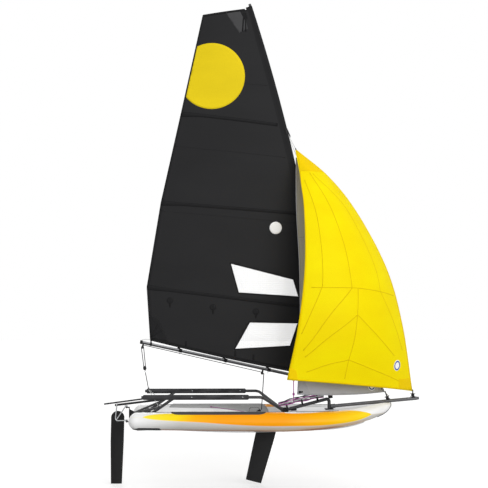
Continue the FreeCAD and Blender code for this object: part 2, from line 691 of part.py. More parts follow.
def furler(tack, direction):
    """Furling drum on the bowsprit under the tack of a headsail, with its swivel above."""
    aft, aim = bowsprit_line()
    on_pole = aft + aim * ((tack.x - aft.x) / aim.x)
    on_pole = on_pole + FORWARD * ((tack.z - on_pole.z) * direction)
    axis = unit(tack - on_pole)
    low = on_pole + axis * (BOWSPRIT_DIAMETER / 2 + DRUM_STAND - DRUM_FLANGE)
    high = low + axis * DRUM_HEIGHT
    stem = rod(on_pole, tack, FURLER_STEM)
    flanges = [rod(end, end + axis * DRUM_FLANGE, DRUM_DIAMETER) for end in (low, high - axis * DRUM_FLANGE)]
    core = rod(low, high, DRUM_DIAMETER * DRUM_CORE)
    return stem.fuse([core] + flanges).removeSplitter()


# ---- Sheet base -------------------------------------------------------------------------------
def board_aft(z):
    """x of the board's aft edge at a height, the same however far the board is lifted."""
    rake = math.radians(BOARD_RAKE)
    return BOARD_CENTRE_X + (z - FLOOR_TOP_Z) * math.tan(rake) - BOARD_CHORD / 2 / math.cos(rake)


def sheave(centre, diameter, width):
    """Grooved wheel on its pin."""
    outer, half = diameter / 2, width / 2
    profile = [(0, -half), (outer, -half), (outer - SHEAVE_GROOVE, 0), (outer, half), (0, half)]
    points = [centre + Vector(radius, across, 0) for radius, across in profile]
    return Part.Face(Part.makePolygon(points + points[:1])).revolve(centre, PORT, 360)


def base_foot():
    """Centre of the sheet base, on the floor behind the board's case."""
    return Vector(case_rim().BoundBox.XMin - BASE_GAP - BASE_DIAMETER / 2, 0, FLOOR_TOP_Z)


def cheeks(outline, width):
    """Pair of plates, one on each side of a sheave."""
    shift = PORT * ((width + CHEEK_THICKNESS) / 2)
    return [plate([point + side for point in outline], CHEEK_THICKNESS) for side in (shift, shift * -1.0)]


def bail_rim(aft, forward, top):
    """One edge of the bail, from the arm up and over to the cheeks."""
    slope = BAIL_SLOPE
    corners = [(aft, CLEAT_Z), (aft, top - slope), (aft + slope, top), (forward - slope, top),
               (forward, top - slope), (forward, SHEAVE_Z)]
    return [Vector(x, 0, z) for x, z in corners]


def sheet_base():
    """Mainsheet base: a post with a sheave between cheeks, an arm with two cams, and a bail."""
    foot = base_foot()
    disc = Part.makeCylinder(BASE_DIAMETER / 2, BASE_HEIGHT, foot)
    post = Part.makeCylinder(BASE_POST / 2, CLEAT_Z - FLOOR_TOP_Z, foot)
    reach = SHEAVE_DIAMETER / 2
    hub = Vector(board_aft(SHEAVE_Z) - BOARD_CLEARANCE - reach, 0, SHEAVE_Z)
    aft, forward = foot.x - BASE_POST / 2, foot.x + BASE_POST / 2
    low, high = SHEAVE_Z - reach / 2, SHEAVE_Z + reach / 2
    nose, brow = hub.x + reach / 2, hub.x - reach
    outline = [(aft, CHEEK_Z), (forward, CHEEK_Z), (nose, low), (nose, high), (brow, high), (aft, CLEAT_Z)]
    sides = cheeks([Vector(x, 0, z) for x, z in outline], SHEAVE_WIDTH + 2 * SEAT_GAP)
    across = PORT * (SHEAVE_WIDTH / 2 + SEAT_GAP)
    pin = rod(hub - across, hub + across, SHEAVE_PIN)
    half = ARM_WIDTH / 2
    end = aft - CLEAT_REACH
    arm = block((end, forward), (-half, half), (CLEAT_Z - ARM_THICKNESS, CLEAT_Z))
    cams = [Part.makeCylinder(CAM_DIAMETER / 2, CAM_HEIGHT, Vector(end + CAM_DIAMETER, side, CLEAT_Z))
            for side in (half / 2, -half / 2)]
    arch = [bail_rim(end + inset, hub.x - inset, BAIL_TOP_Z - inset) for inset in (0.0, BAIL_THICKNESS)]
    bail = plate(arch[0] + arch[1][::-1], BAIL_WIDTH)
    pieces = [post, pin, arm, sheave(hub, SHEAVE_DIAMETER, SHEAVE_WIDTH), bail] + sides + cams
    return disc.fuse(pieces).removeSplitter()


def side_line(base):
    """Taut line from the sheet base to a knot at the port pad."""
    angle = math.radians(LINE_END_ANGLE)
    reach = TUBE_DIAMETER / 2 + PAD_THICKNESS + SEAT_GAP + LINE_KNOT * KNOT_STAND
    axis = Vector(LINE_END_X, TUBE_HALF_SPACING, TUBE_AXIS_Z)
    end = axis + Vector(0, math.cos(angle), math.sin(angle)) * reach
    start = Vector(base_foot().x - BASE_POST / 2 - CLEAT_REACH, 0, CLEAT_Z + LINE_DIAMETER)
    half = unit(end - start) * (LINE_KNOT / 2)
    return rod(start, end + half, LINE_DIAMETER).fuse(rod(end - half, end + half, LINE_KNOT)).cut(base)


# ---- Stern bracket and rudder -----------------------------------------------------------------
def stern_bracket():
    """Upright plate with two gudgeons aft and a web forward that takes the stern struts."""
    low, high = LOWER_GUDGEON_Z, UPPER_GUDGEON_Z + GUDGEON_HEIGHT
    half = BRACKET_WIDTH / 2
    front = BRACKET_FACE_X + BRACKET_THICKNESS
    face = block((BRACKET_FACE_X, front), (-half, half), (low, high))
    pieces = [plate([Vector(front + WEB_LENGTH * share, 0, z) for share, z in WEB_OUTLINE], WEB_THICKNESS)]
    for z in (LOWER_GUDGEON_Z, UPPER_GUDGEON_Z):
        eye = Vector(PINTLE_X, 0, z)
        pieces.append(Part.makeCylinder(GUDGEON_DIAMETER / 2, GUDGEON_HEIGHT, eye))
        pieces.append(block((PINTLE_X, BRACKET_FACE_X), (-GUDGEON_DIAMETER / 2, GUDGEON_DIAMETER / 2),
                            (z, z + GUDGEON_HEIGHT)))
    bore = Part.makeCylinder(PINTLE_DIAMETER / 2 + PIN_GAP, 2 * FAR, Vector(PINTLE_X, 0, -FAR))
    return face.fuse(pieces).cut(bore)


def tiller_point(x):
    """Point on the tiller's axis at a given x."""
    return Vector(x, 0, TILLER_AFT.z + (x - TILLER_AFT.x) * TILLER_SLOPE)


def rudder_stock():
    """Two bent-tube cheeks on a pair of pintle blocks, with the blade between them."""
    offset = BLADE_THICKNESS / 2 + BLADE_CLEARANCE + STOCK_TUBE / 2
    upper_z = UPPER_GUDGEON_Z + GUDGEON_HEIGHT + SEAT_GAP
    lower_z = LOWER_GUDGEON_Z + GUDGEON_HEIGHT + SEAT_GAP
    middle = PINTLE_BLOCK / 2
    pieces = []
    for side in (PORT * offset, PORT * -offset):
        toe = Vector(PINTLE_X - BRACE_INSET + STOCK_TUBE / 2, 0, lower_z + middle)
        hoop = [STOCK_HEAD + side, STOCK_HEEL + side, toe + side]
        pieces.append(bent_tube(hoop, STOCK_TUBE, STOCK_BEND))
        foot = BLADE_PIVOT + BRACE_FOOT + side
        pieces.append(rod(foot, Vector(PINTLE_X - BRACE_INSET, 0, upper_z + middle) + side, STOCK_TUBE))
    half = offset + STOCK_TUBE / 2
    aft, waist = PINTLE_X - BRACE_INSET - PINTLE_BOSS / 2, PINTLE_X - PINTLE_BOSS / 2
    nose = PINTLE_BOSS / 2
    outline = [(aft, -half), (waist, -half), (PINTLE_X + nose, -nose / 2), (PINTLE_X + nose, nose / 2),
               (waist, half), (aft, half)]
    for low in (upper_z, lower_z):
        level = [Vector(x, y, low + middle) for x, y in outline]
        pieces.append(plate(level, PINTLE_BLOCK, UP))
        reach = GUDGEON_HEIGHT + PINTLE_REACH
        pin_foot = Vector(PINTLE_X, 0, low - reach)
        pieces.append(Part.makeCylinder(PINTLE_DIAMETER / 2, reach + middle, pin_foot))
    bar = STOCK_HEAD - UP * STOCK_BAR_DROP
    pieces.append(rod(bar - PORT * half, bar + PORT * half, STOCK_BAR))
    ends = PORT * (half + EYE_PIN_HEAD)
    pieces.append(rod(BLADE_PIVOT - ends, BLADE_PIVOT + ends, BLADE_BOLT))
    return pieces[0].fuse(pieces[1:]).cut(tiller())


def rudder_blade():
    """Upright blade with a round head that turns on a bolt between the cheeks."""
    side = PORT * (BLADE_THICKNESS / 2)
    head = rod(BLADE_PIVOT - side, BLADE_PIVOT + side, 2 * BLADE_HEAD_RADIUS)
    front = BLADE_PIVOT.x + BLADE_HEAD_RADIUS
    aft = BLADE_PIVOT.x - BLADE_HEAD_RADIUS
    sections = []
    for z, nose_in, tail_out, share in ((BLADE_PIVOT.z, 0.0, 0.0, 1.0),) + BLADE_LEVELS:
        nose = front - nose_in
        tail = aft - tail_out
        sections.append(foil_section(nose - tail, BLADE_THICKNESS * share, z, (nose + tail) / 2))
    foil = Part.makeLoft(sections, True, True)
    bolt = rod(BLADE_PIVOT - side * 2, BLADE_PIVOT + side * 2, BLADE_BOLT + 2 * PIN_GAP)
    return head.fuse(foil).cut(bolt)


def tiller():
    """Straight tube from the head of the rudder stock to the universal joint."""
    return rod(TILLER_AFT, tiller_point(TILLER_FORWARD_X + JOINT_LENGTH), TILLER_DIAMETER)


def extension_pivot():
    """Centre of the universal joint."""
    return tiller_point(TILLER_FORWARD_X) + UP * EXTENSION_PIVOT_RISE


def extension_axis():
    """Direction that the tiller extension turns about."""
    lean = math.radians(EXTENSION_LEAN)
    return Vector(-math.sin(lean), 0, math.cos(lean))


def tiller_joint():
    """Post of the universal joint, with its pin."""
    pivot = extension_pivot()
    axis = extension_axis()
    seat = pivot - axis * (EYE_HEIGHT / 2 + SEAT_GAP)
    post = rod(tiller_point(TILLER_FORWARD_X), pivot, POST_DIAMETER)
    post = post.cut(rod(seat, pivot + axis * EYE_HEIGHT, 4 * POST_DIAMETER))
    pin = rod(seat - axis * EYE_PIN, pivot + axis * (EYE_HEIGHT / 2 + EYE_PIN_HEAD), EYE_PIN)
    return post.fuse(pin).cut(tiller())


def tiller_extension():
    """Long straight stick with an eye that turns on the universal joint's pin."""
    pivot = extension_pivot()
    axis = extension_axis()
    half = axis * (EYE_HEIGHT / 2)
    eye = rod(pivot - half, pivot + half, EYE_DIAMETER)
    stick = rod(pivot, EXTENSION_TIP, EXTENSION_DIAMETER)
    hole = rod(pivot - half * 2, pivot + half * 2, EYE_PIN + 2 * PIN_GAP)
    post_room = rod(pivot - half * 6, pivot - half, POST_DIAMETER + 2 * POST_ROOM)
    return eye.fuse(stick).cut([hole, post_room])


# ---- Rig --------------------------------------------------------------------------------------
def bend_centre():
    """Centre of the arc that the mast is bent to."""
    lean = math.radians(MAST_LEAN)
    return MAST_FOOT - Vector(math.cos(lean), 0, math.sin(lean)) * MAST_BEND_RADIUS


def mast_angle(z):
    """Angle on that arc, in radians, of the mast's centre at a height."""
    return math.asin((z - bend_centre().z) / MAST_BEND_RADIUS)


def mast_centre(z):
    """Centre of the bent mast at a height."""
    angle = mast_angle(z)
    return bend_centre() + Vector(math.cos(angle), 0, math.sin(angle)) * MAST_BEND_RADIUS


def mast_direction(z):
    """Direction of the bent mast at a height."""
    angle = mast_angle(z)
    return Vector(-math.sin(angle), 0, math.cos(angle))


def spar(low, high, radius):
    """Round bar along the mast's arc between two heights."""
    section = Part.Face(Part.Wire(Part.makeCircle(radius, mast_centre(low), mast_direction(low))))
    sweep = math.degrees(mast_angle(high) - mast_angle(low))
    return section.revolve(bend_centre(), PORT * -1.0, sweep)


def whole_spar(low, high, growth):
    """Both sections of the mast between two heights, thicker by a growth in radius."""
    lower = spar(low, MAST_JOINT_Z + growth, MAST_DIAMETER / 2 + growth)
    return lower.fuse(spar(MAST_JOINT_Z, high, TOPMAST_DIAMETER / 2 + growth))


def mainsail(sleeve_form):
    """Mainsail with three batten pockets, cut to the luff sleeve."""
    sections = []
    thick = []
    for luff_z, leech_x, leech_z in MAINSAIL_STATIONS:
        luff = mast_centre(luff_z)
        leech = Vector(leech_x, 0, leech_z)
        sections.append(sail_section(luff, leech, MAINSAIL_CAMBER, SAIL_THICKNESS))
        thick.append(sail_section(luff, leech, MAINSAIL_CAMBER, BATTEN_THICKNESS))
    cloth = Part.makeLoft(sections, True, False)
    envelope = Part.makeLoft(thick, True, False)
    pockets = []
    for station in BATTEN_STATIONS:
        luff_z, leech_x, leech_z = MAINSAIL_STATIONS[station]
        luff = mast_centre(luff_z)
        leech = Vector(leech_x, 0, leech_z)
        across = unit((leech - luff).cross(PORT)) * (BATTEN_POCKET / 2)
        reach = unit(leech - luff) * 40.0
        band = plate([luff + across, leech + reach + across, leech + reach - across, luff - across], 800.0)
        pockets.append(envelope.common(band))
    return cloth.fuse(pockets).cut(sleeve_form)


def boom_line():
    """Forward and aft ends of the boom; the forward end is at the gooseneck."""
    at_mast = mast_centre(BOOM_FORWARD_Z)
    aim = unit(BOOM_AFT - at_mast)
    return at_mast + aim * (MAST_DIAMETER / 2 + JAW_LENGTH), aim


def below_boom(x, drop):
    """Point under the boom, at a distance square to its axis."""
    start, aim = boom_line()
    return start + aim * ((x - start.x) / aim.x) + unit(aim.cross(PORT)) * drop


def boom():
    """Straight round boom, rising aft, with three bands whose hangers lead the sheet under it."""
    start, aim = boom_line()
    half = aim * (BAND_WIDTH / 2)
    side = aim * (HANGER_THICKNESS / 2)
    pieces = []
    holes = []
    for x in BAND_XS:
        centre, eye = below_boom(x, 0.0), below_boom(x, SHEET_DROP)
        tip = below_boom(x, SHEET_DROP + HANGER_EYE / 2)
        pieces.append(rod(centre - half, centre + half, BOOM_DIAMETER + 2 * BAND_WALL))
        pieces.append(plate([centre - side, centre + side, tip + side, tip - side], HANGER_EYE))
        holes.append(rod(eye - side * 2, eye + side * 2, SHEET_DIAMETER + 2 * PIN_GAP))
    return rod(start, BOOM_AFT, BOOM_DIAMETER).fuse(pieces).cut(holes)


def gooseneck():
    """Clamp round the mast with a jaw that carries the boom's end."""
    start, _ = boom_line()
    direction = mast_direction(BOOM_FORWARD_Z)
    centre = mast_centre(BOOM_FORWARD_Z)
    half = direction * (GOOSENECK_HEIGHT / 2)
    clamp = rod(centre - half, centre + half, MAST_DIAMETER + 2 * GOOSENECK_WALL)
    jaw = rod(centre, start, BOOM_DIAMETER * JAW_SHARE)
    low, high = BOOM_FORWARD_Z - GOOSENECK_HEIGHT, BOOM_FORWARD_Z + GOOSENECK_HEIGHT
    bore = spar(low, high, MAST_DIAMETER / 2 + SEAT_GAP)
    return clamp.fuse(jaw).cut(bore)


def boom_end():
    """Cap on the boom's aft end."""
    _, aim = boom_line()
    cap = rod(BOOM_AFT - aim * CAP_LENGTH, BOOM_AFT + aim * CAP_END, BOOM_DIAMETER + 2 * CAP_WALL)
    return cap.cut(rod(BOOM_AFT - aim * 2 * CAP_LENGTH, BOOM_AFT, BOOM_DIAMETER + 2 * SEAT_GAP))


def sheet_block(x):
    """Block under the boom that turns the sheet down: a sheave between two cheeks."""
    _, aim = boom_line()
    centre = below_boom(x, 0.0)
    reach = SHEAVE_DIAMETER / 2
    hub = below_boom(x, SHEET_DROP + SHEET_DIAMETER / 2 + reach - SHEET_SINK)
    half = aim * (BLOCK_NECK / 2)
    chin = hub + unit(hub - centre) * reach
    sides = cheeks([centre - half, centre + half, hub + half * 2, chin + half, chin - half, hub - half * 2],
                   SHEAVE_WIDTH + 2 * SEAT_GAP)
    across = PORT * (SHEAVE_WIDTH / 2 + SEAT_GAP)
    pieces = sides + [rod(hub - across, hub + across, SHEAVE_PIN)]
    room = rod(centre - aim * FAR, centre + aim * FAR, BOOM_DIAMETER + 2 * SEAT_GAP)
    return sheave(hub, SHEAVE_DIAMETER, SHEAVE_WIDTH).fuse(pieces).cut(room)


def boom_sheet():
    """Stretch of the mainsheet between its blocks under the boom, through the hangers."""
    aft, forward = (below_boom(x, SHEET_DROP) for x in BLOCK_XS)
    return rod(aft, forward, SHEET_DIAMETER)


def mast_foot():
    """Plug in the mast's foot, with the socket that sits on the step's pin."""
    axis = hinge_axis()
    plug = rod(MAST_FOOT, MAST_FOOT + axis * FOOT_PLUG, MAST_DIAMETER + 2 * FOOT_PLUG_WALL)
    top = MAST_FOOT + axis * (STEP_PIN_RISE + FOOT_PLUG_WALL)
    socket = rod(MAST_FOOT - axis * FOOT_PLUG_WALL, top, STEP_PIN + 2 * PIN_GAP)
    return plug.cut(socket)


def hounds_collar():
    """Solid collar where the headsails' halyards leave the mast."""
    centre = mast_centre(HOUNDS_Z)
    half = mast_direction(HOUNDS_Z) * (HOUNDS_HEIGHT / 2)
    return rod(centre - half, centre + half, TOPMAST_DIAMETER + 2 * (SLEEVE_CLOTH + HOUNDS_WALL))


def hounds(collar):
    """The collar with a lug ahead of it for the halyards' eye."""
    direction = mast_direction(HOUNDS_Z)
    forward = PORT.cross(direction)
    centre = mast_centre(HOUNDS_Z)
    lug = plate([centre + forward * ahead + direction * above for ahead, above in LUG_OUTLINE], LUG_THICKNESS)
    ahead, above = LUG_HOLE_PLACE
    hole = centre + forward * ahead + direction * above
    side = PORT * LUG_THICKNESS
    return collar.fuse(lug).cut(rod(hole - side, hole + side, LUG_HOLE))


# ---- Assembly ---------------------------------------------------------------------------------
def build():
    """All nodes by name."""
    nodes = {}
    tube_form = side_tube_form(SEAT_GAP)
    tube_forms = [tube_form, mirrored(tube_form)]
    slot = case_block(CASE_WALL, -FAR / 10, FAR / 10)
    nodes["side_tube_port"] = side_tube()
    nodes["hull_floor"] = hull_floor(tube_forms, slot)
    nodes["foredeck"] = foredeck(tube_forms, nodes["hull_floor"])
    nodes["deck_pad_port"] = deck_pad()
    nodes["skid_strip_port"] = skid_strip()
    nodes["daggerboard_case"] = daggerboard_case()
    nodes["daggerboard"] = daggerboard()

    rail = rack_rail()
    brace = rack_brace()
    leg = rack_leg(rail)
    bracket = stern_bracket()
    strut = mast_strut()
    post = mast_post()
    nodes["rack_rail_port"] = rail
    nodes["rack_brace_port"] = brace
    nodes["rack_leg_port"] = leg
    nodes["grip_sleeve_port"] = grip_sleeve(leg)
    nodes["stern_strut_port"] = stern_strut(leg, bracket)
    nodes["front_node"] = front_node([brace, mirrored(brace), strut])
    nodes["stern_bracket"] = bracket
    nodes["mast_strut"] = strut
    nodes["mast_step"] = mast_step()
    nodes["mast_post"] = post
    nodes["step_plate"] = step_plate(nodes["foredeck"])
    nodes["bowsprit"] = bowsprit(post)
    nodes["sheet_base"] = sheet_base()
    nodes["side_line"] = side_line(nodes["sheet_base"])
    nodes["jib_furler"] = furler(JIB_TACK, 0.35).cut(nodes["bowsprit"])
    nodes["gennaker_furler"] = furler(GENNAKER_TACK, 0.0).cut(nodes["bowsprit"])
    for name in [name for name in nodes if name.endswith("_port")]:
        nodes[name.replace("_port", "_starboard")] = mirrored(nodes[name])

    nodes["rudder_stock"] = rudder_stock()
    nodes["tiller"] = tiller()
    nodes["tiller_joint"] = tiller_joint()
    nodes["rudder_blade"] = rudder_blade()
    nodes["tiller_extension"] = tiller_extension()

    lower = spar(MAST_FOOT.z + FOOT_PLUG, MAST_JOINT_Z, MAST_DIAMETER / 2)
    collar = hounds_collar()
    cover = whole_spar(LUFF_SLEEVE_FOOT_Z, MAST_TOP_Z - SLEEVE_END, SLEEVE_CLOTH)
    inside = whole_spar(LUFF_SLEEVE_FOOT_Z - 5.0, MAST_TOP_Z, SEAT_GAP)
    nodes["mast_lower"] = lower
    nodes["mast_upper"] = spar(MAST_JOINT_Z, MAST_TOP_Z, TOPMAST_DIAMETER / 2)
    nodes["luff_sleeve"] = cover.cut([inside, collar])
    outside = whole_spar(LUFF_SLEEVE_FOOT_Z, MAST_TOP_Z - SLEEVE_END, SLEEVE_CLOTH + SEAT_GAP)
    nodes["mainsail"] = mainsail(outside).cut(collar)
    nodes["mast_foot"] = mast_foot().cut(lower)
    nodes["boom"] = boom()
    nodes["gooseneck"] = gooseneck()
    nodes["boom_end"] = boom_end()
    nodes["block_aft"], nodes["block_forward"] = (sheet_block(x) for x in BLOCK_XS)
    nodes["boom_sheet"] = boom_sheet()
    nodes["hounds"] = hounds(collar).cut(inside)
    for name, stations in (("jib", JIB_STATIONS), ("gennaker", GENNAKER_STATIONS)):
        sections = []
        for luff, leech, camber in stations:
            sections.append(sail_section(Vector(*luff), Vector(*leech), camber, SAIL_THICKNESS))
        nodes[name] = Part.makeLoft(sections, True, False).cut(nodes[name + "_furler"])
    return nodes


def main():
    os.makedirs("parts", exist_ok=True)
    for name, shape in build().items():
        if len(shape.Solids) == 1:
            shape = shape.Solids[0]
        shape.exportStep("parts/" + name + ".step")
        print(name, len(shape.Solids), round(shape.Volume / 1000.0, 1), shape.isValid())


main()
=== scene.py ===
import math

import bmesh
import bpy
import numpy as np
from mathutils import Matrix, Vector


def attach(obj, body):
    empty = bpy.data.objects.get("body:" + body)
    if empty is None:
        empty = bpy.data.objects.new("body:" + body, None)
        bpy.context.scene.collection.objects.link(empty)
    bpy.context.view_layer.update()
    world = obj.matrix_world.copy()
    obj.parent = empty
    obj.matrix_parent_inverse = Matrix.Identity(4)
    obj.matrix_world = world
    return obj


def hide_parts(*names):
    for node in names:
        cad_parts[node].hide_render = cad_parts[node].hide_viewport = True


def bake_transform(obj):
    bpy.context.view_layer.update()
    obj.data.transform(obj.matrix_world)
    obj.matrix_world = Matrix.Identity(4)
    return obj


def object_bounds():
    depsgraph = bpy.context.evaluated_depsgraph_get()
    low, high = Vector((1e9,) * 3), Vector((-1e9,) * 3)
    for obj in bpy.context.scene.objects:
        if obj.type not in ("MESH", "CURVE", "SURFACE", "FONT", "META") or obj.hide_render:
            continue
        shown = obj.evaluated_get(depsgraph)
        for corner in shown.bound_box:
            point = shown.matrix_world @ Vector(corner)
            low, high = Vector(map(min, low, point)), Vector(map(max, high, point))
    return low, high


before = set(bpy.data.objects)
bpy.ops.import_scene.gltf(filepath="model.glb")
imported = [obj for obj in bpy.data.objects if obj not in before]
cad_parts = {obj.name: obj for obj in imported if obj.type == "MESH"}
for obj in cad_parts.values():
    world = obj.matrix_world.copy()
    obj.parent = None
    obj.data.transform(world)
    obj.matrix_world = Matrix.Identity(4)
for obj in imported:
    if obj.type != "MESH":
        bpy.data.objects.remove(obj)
cad_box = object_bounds()

# Looks of a two-tube inflatable sailing dinghy, in metres: X forward, Y to port, Z up.

UP = Vector((0, 0, 1))
SIDES = (("port", 1.0), ("starboard", -1.0))
MERGE = 1e-5                  # points of one mesh nearer than this become one
STANDING = Matrix(((1, 0, 0, 0), (0, 0, -1, 0), (0, 1, 0, 0), (0, 0, 0, 1)))  # stands a plate up along X

# Hull: each tube runs straight to TUBE_BEND_X and then curves inward
TUBE_RADIUS = 0.135
TUBE_AXIS = Vector((0, 0.685, 0.125))
TUBE_BEND_X = 0.30
TUBE_BEND = 0.262             # inward per square metre beyond that place

# Rig, as the frame has it
MAST_FOOT = Vector((0.996, 0, 0.439))
MAST_LEAN = math.radians(5.05)
MAST_BEND = 24.6              # radius of the mast's arc
MAST_JOINT = 3.080            # height at which the upper mast leaves the lower one
LOWER_RADIUS = 0.025
UPPER_RADIUS = 0.019
SLEEVE_FOOT = 0.690
SLEEVE_TOP = 5.882
CAMBER = 0.035                # depth of the mainsail as a share of its width
MAIN_STATIONS = (  # luff height, leech x, leech z
    (0.664, -1.507, 1.197),
    (1.640, -1.556, 1.939),
    (2.957, -1.364, 3.113),
    (4.199, -1.088, 4.355),
    (5.840, -0.781, 5.754),
)
BOOM_START = 0.607
BOOM_END = Vector((-1.634, 0, 1.177))
BOOM_RADIUS = 0.022
JIB_STATIONS = (  # luff, leech, camber
    ((1.758, 0.0, 0.478), (0.4975, -0.540, 0.483), 0.085),
    ((1.480, -0.040, 1.250), (0.535, -0.512, 1.240), 0.11),
    ((1.120, -0.044, 2.180), (0.541, -0.362, 2.180), 0.11),
    ((0.780, -0.028, 3.060), (0.513, -0.150, 3.060), 0.10),
    ((0.560, -0.010, 3.750), (0.520, -0.016, 3.750), 0.05),
)
GENNAKER_STATIONS = (
    ((2.148, 0.0, 0.490), (0.336, -0.900, 0.702), 0.12),
    ((1.982, -0.230, 1.400), (0.482, -0.960, 1.420), 0.16),
    ((1.763, -0.270, 2.180), (0.576, -0.880, 2.200), 0.18),
    ((1.367, -0.230, 2.950), (0.588, -0.640, 2.960), 0.18),
    ((0.976, -0.130, 3.470), (0.556, -0.330, 3.470), 0.15),
    ((0.540, -0.012, 3.856), (0.512, -0.034, 3.856), 0.05),
)
FOOT_DROP = {JIB_STATIONS: 0.016, GENNAKER_STATIONS: -0.012}   # of the foot's middle below its corners
LUG_HOLE = Vector((0.425, 0.0, 4.035))


# ---- Camera, light and floor ------------------------------------------------------------------
def place_camera():
    """Long lens on the starboard side, a little forward of the stern, looking slightly up."""
    data = bpy.data.cameras.new("camera")
    data.lens = 100.6
    data.sensor_width = 36.0
    data.clip_end = 200.0
    camera = bpy.data.objects.new("camera", data)
    camera.location = (-0.81, -19.0, 1.82)
    camera.rotation_euler = (math.radians(92.17), 0, math.radians(-1.83))
    bpy.context.scene.collection.objects.link(camera)
    bpy.context.scene.camera = camera


def seen_rays(tree):
    """1 for rays from the camera and for mirror and glass rays, which see the white studio."""
    path = tree.nodes.new("ShaderNodeLightPath")
    mirrored = math_node(tree, "MAXIMUM", path.outputs["Is Camera Ray"], path.outputs["Is Glossy Ray"])
    return math_node(tree, "MAXIMUM", mirrored, path.outputs["Is Transmission Ray"])


def light_studio():
    """White surroundings to look at, a moderate even light, and four wide soft lamps."""
    bpy.context.scene.view_settings.view_transform = "Standard"
    world = bpy.data.worlds.new("studio")
    bpy.context.scene.world = world
    world.use_nodes = True
    tree = world.node_tree
    tree.nodes.clear()
    white = tree.nodes.new("ShaderNodeBackground")
    white.inputs["Color"].default_value = (1, 1, 1, 1)
    even = tree.nodes.new("ShaderNodeBackground")
    even.inputs["Color"].default_value = (1, 1, 1, 1)
    even.inputs["Strength"].default_value = 0.62
    mix = tree.nodes.new("ShaderNodeMixShader")
    out = tree.nodes.new("ShaderNodeOutputWorld")
    tree.links.new(seen_rays(tree), mix.inputs[0])
    tree.links.new(even.outputs[0], mix.inputs[1])
    tree.links.new(white.outputs[0], mix.inputs[2])
    tree.links.new(mix.outputs[0], out.inputs["Surface"])
    for name, tilt, turn, strength in (("key", 58, 5, 0.30), ("fill", 72, 30, 0.50), ("low", 86, 20, 1.45),
                                       ("back", 58, 190, 0.6)):
        data = bpy.data.lights.new(name, "SUN")
        data.energy = strength
        data.angle = math.radians(35)
        lamp = bpy.data.objects.new(name, data)
        lamp.rotation_euler = (math.radians(tilt), 0, math.radians(turn))
        bpy.context.scene.collection.objects.link(lamp)


def lay_floor():
    """Plain white floor just under the tips of the boards, which keeps their shadow."""
    floor = new_piece("studio_floor", lambda work: bmesh.ops.create_grid(work, size=60.0), studio_white())
    floor.data.transform(Matrix.Translation((0, 0, cad_box[0].z - 0.02)))


# ---- Shader helpers ---------------------------------------------------------------------------
def feed(tree, socket, value):
    """Gives a socket a number, a colour or another socket."""
    if isinstance(value, tuple):
        socket.default_value = (*value, 1.0)
    elif isinstance(value, (int, float)):
        socket.default_value = value
    elif value is not None:
        tree.links.new(value, socket)


def math_node(tree, operation, first, second=None):
    """Maths on two sockets or numbers."""
    node = tree.nodes.new("ShaderNodeMath")
    node.operation = operation
    for socket, value in zip(node.inputs, (first, second)):
        feed(tree, socket, value)
    return node.outputs[0]


def product(tree, *values):
    """Sockets and numbers multiplied together."""
    total = values[0]
    for value in values[1:]:
        total = math_node(tree, "MULTIPLY", total, value)
    return total


def blank(name, rough, metal=0.0, specular=0.5):
    """New material, its node tree and its shader."""
    made = bpy.data.materials.new(name)
    made.use_nodes = True
    tree = made.node_tree
    shader = tree.nodes["Principled BSDF"]
    for socket, value in (("Roughness", rough), ("Metallic", metal), ("Specular IOR Level", specular)):
        shader.inputs[socket].default_value = value
    return made, tree, shader


def place_of(tree, kind="Object", scale=(1, 1, 1), turn=(0, 0, 0)):
    """Coordinates on the piece, scaled and turned."""
    coords = tree.nodes.new("ShaderNodeTexCoord")
    mapping = tree.nodes.new("ShaderNodeMapping")
    mapping.inputs["Scale"].default_value = scale
    mapping.inputs["Rotation"].default_value = turn
    tree.links.new(coords.outputs[kind], mapping.inputs["Vector"])
    return mapping.outputs["Vector"]


def axes(tree, vector):
    """x, y and z of a vector."""
    node = tree.nodes.new("ShaderNodeSeparateXYZ")
    tree.links.new(vector, node.inputs[0])
    return node.outputs


def noise(tree, vector, scale, detail=3.0, rough=0.5):
    """Fractal noise between 0 and 1."""
    node = tree.nodes.new("ShaderNodeTexNoise")
    for socket, value in (("Scale", scale), ("Detail", detail), ("Roughness", rough)):
        node.inputs[socket].default_value = value
    tree.links.new(vector, node.inputs["Vector"])
    return node.outputs["Fac"]


def bands(tree, vector, scale, direction="X", profile="SIN"):
    """Parallel bands."""
    node = tree.nodes.new("ShaderNodeTexWave")
    node.bands_direction = direction
    node.wave_profile = profile
    node.inputs["Scale"].default_value = scale
    tree.links.new(vector, node.inputs["Vector"])
    return node.outputs["Fac"]


def crossed(tree, scale, kind="Object", directions="X", angles=None, profile="SIN"):
    """Two sets of bands over each other: along two axes, or turned both ways from one."""
    turns = [[math.radians(way * angle) for angle in angles] for way in (1, -1)] if angles else [(0, 0, 0)]
    both = [bands(tree, place_of(tree, kind, turn=turn), scale, direction, profile)
            for turn in turns for direction in directions]
    return math_node(tree, "MAXIMUM", *both)


def spread(tree, value, low, high, to_low=0.0, to_high=1.0, kind="LINEAR"):
    """Value moved from one range to another, kept inside it."""
    node = tree.nodes.new("ShaderNodeMapRange")
    node.interpolation_type = kind
    tree.links.new(value, node.inputs["Value"])
    for name, number in (("From Min", low), ("From Max", high), ("To Min", to_low), ("To Max", to_high)):
        node.inputs[name].default_value = number
    return node.outputs["Result"]


def tint(tree, factor, first, second):
    """Colour between two colours or colour sockets."""
    node = tree.nodes.new("ShaderNodeMix")
    node.data_type = "RGBA"
    for index, value in ((0, factor), (6, first), (7, second)):
        feed(tree, node.inputs[index], value)
    return node.outputs[2]


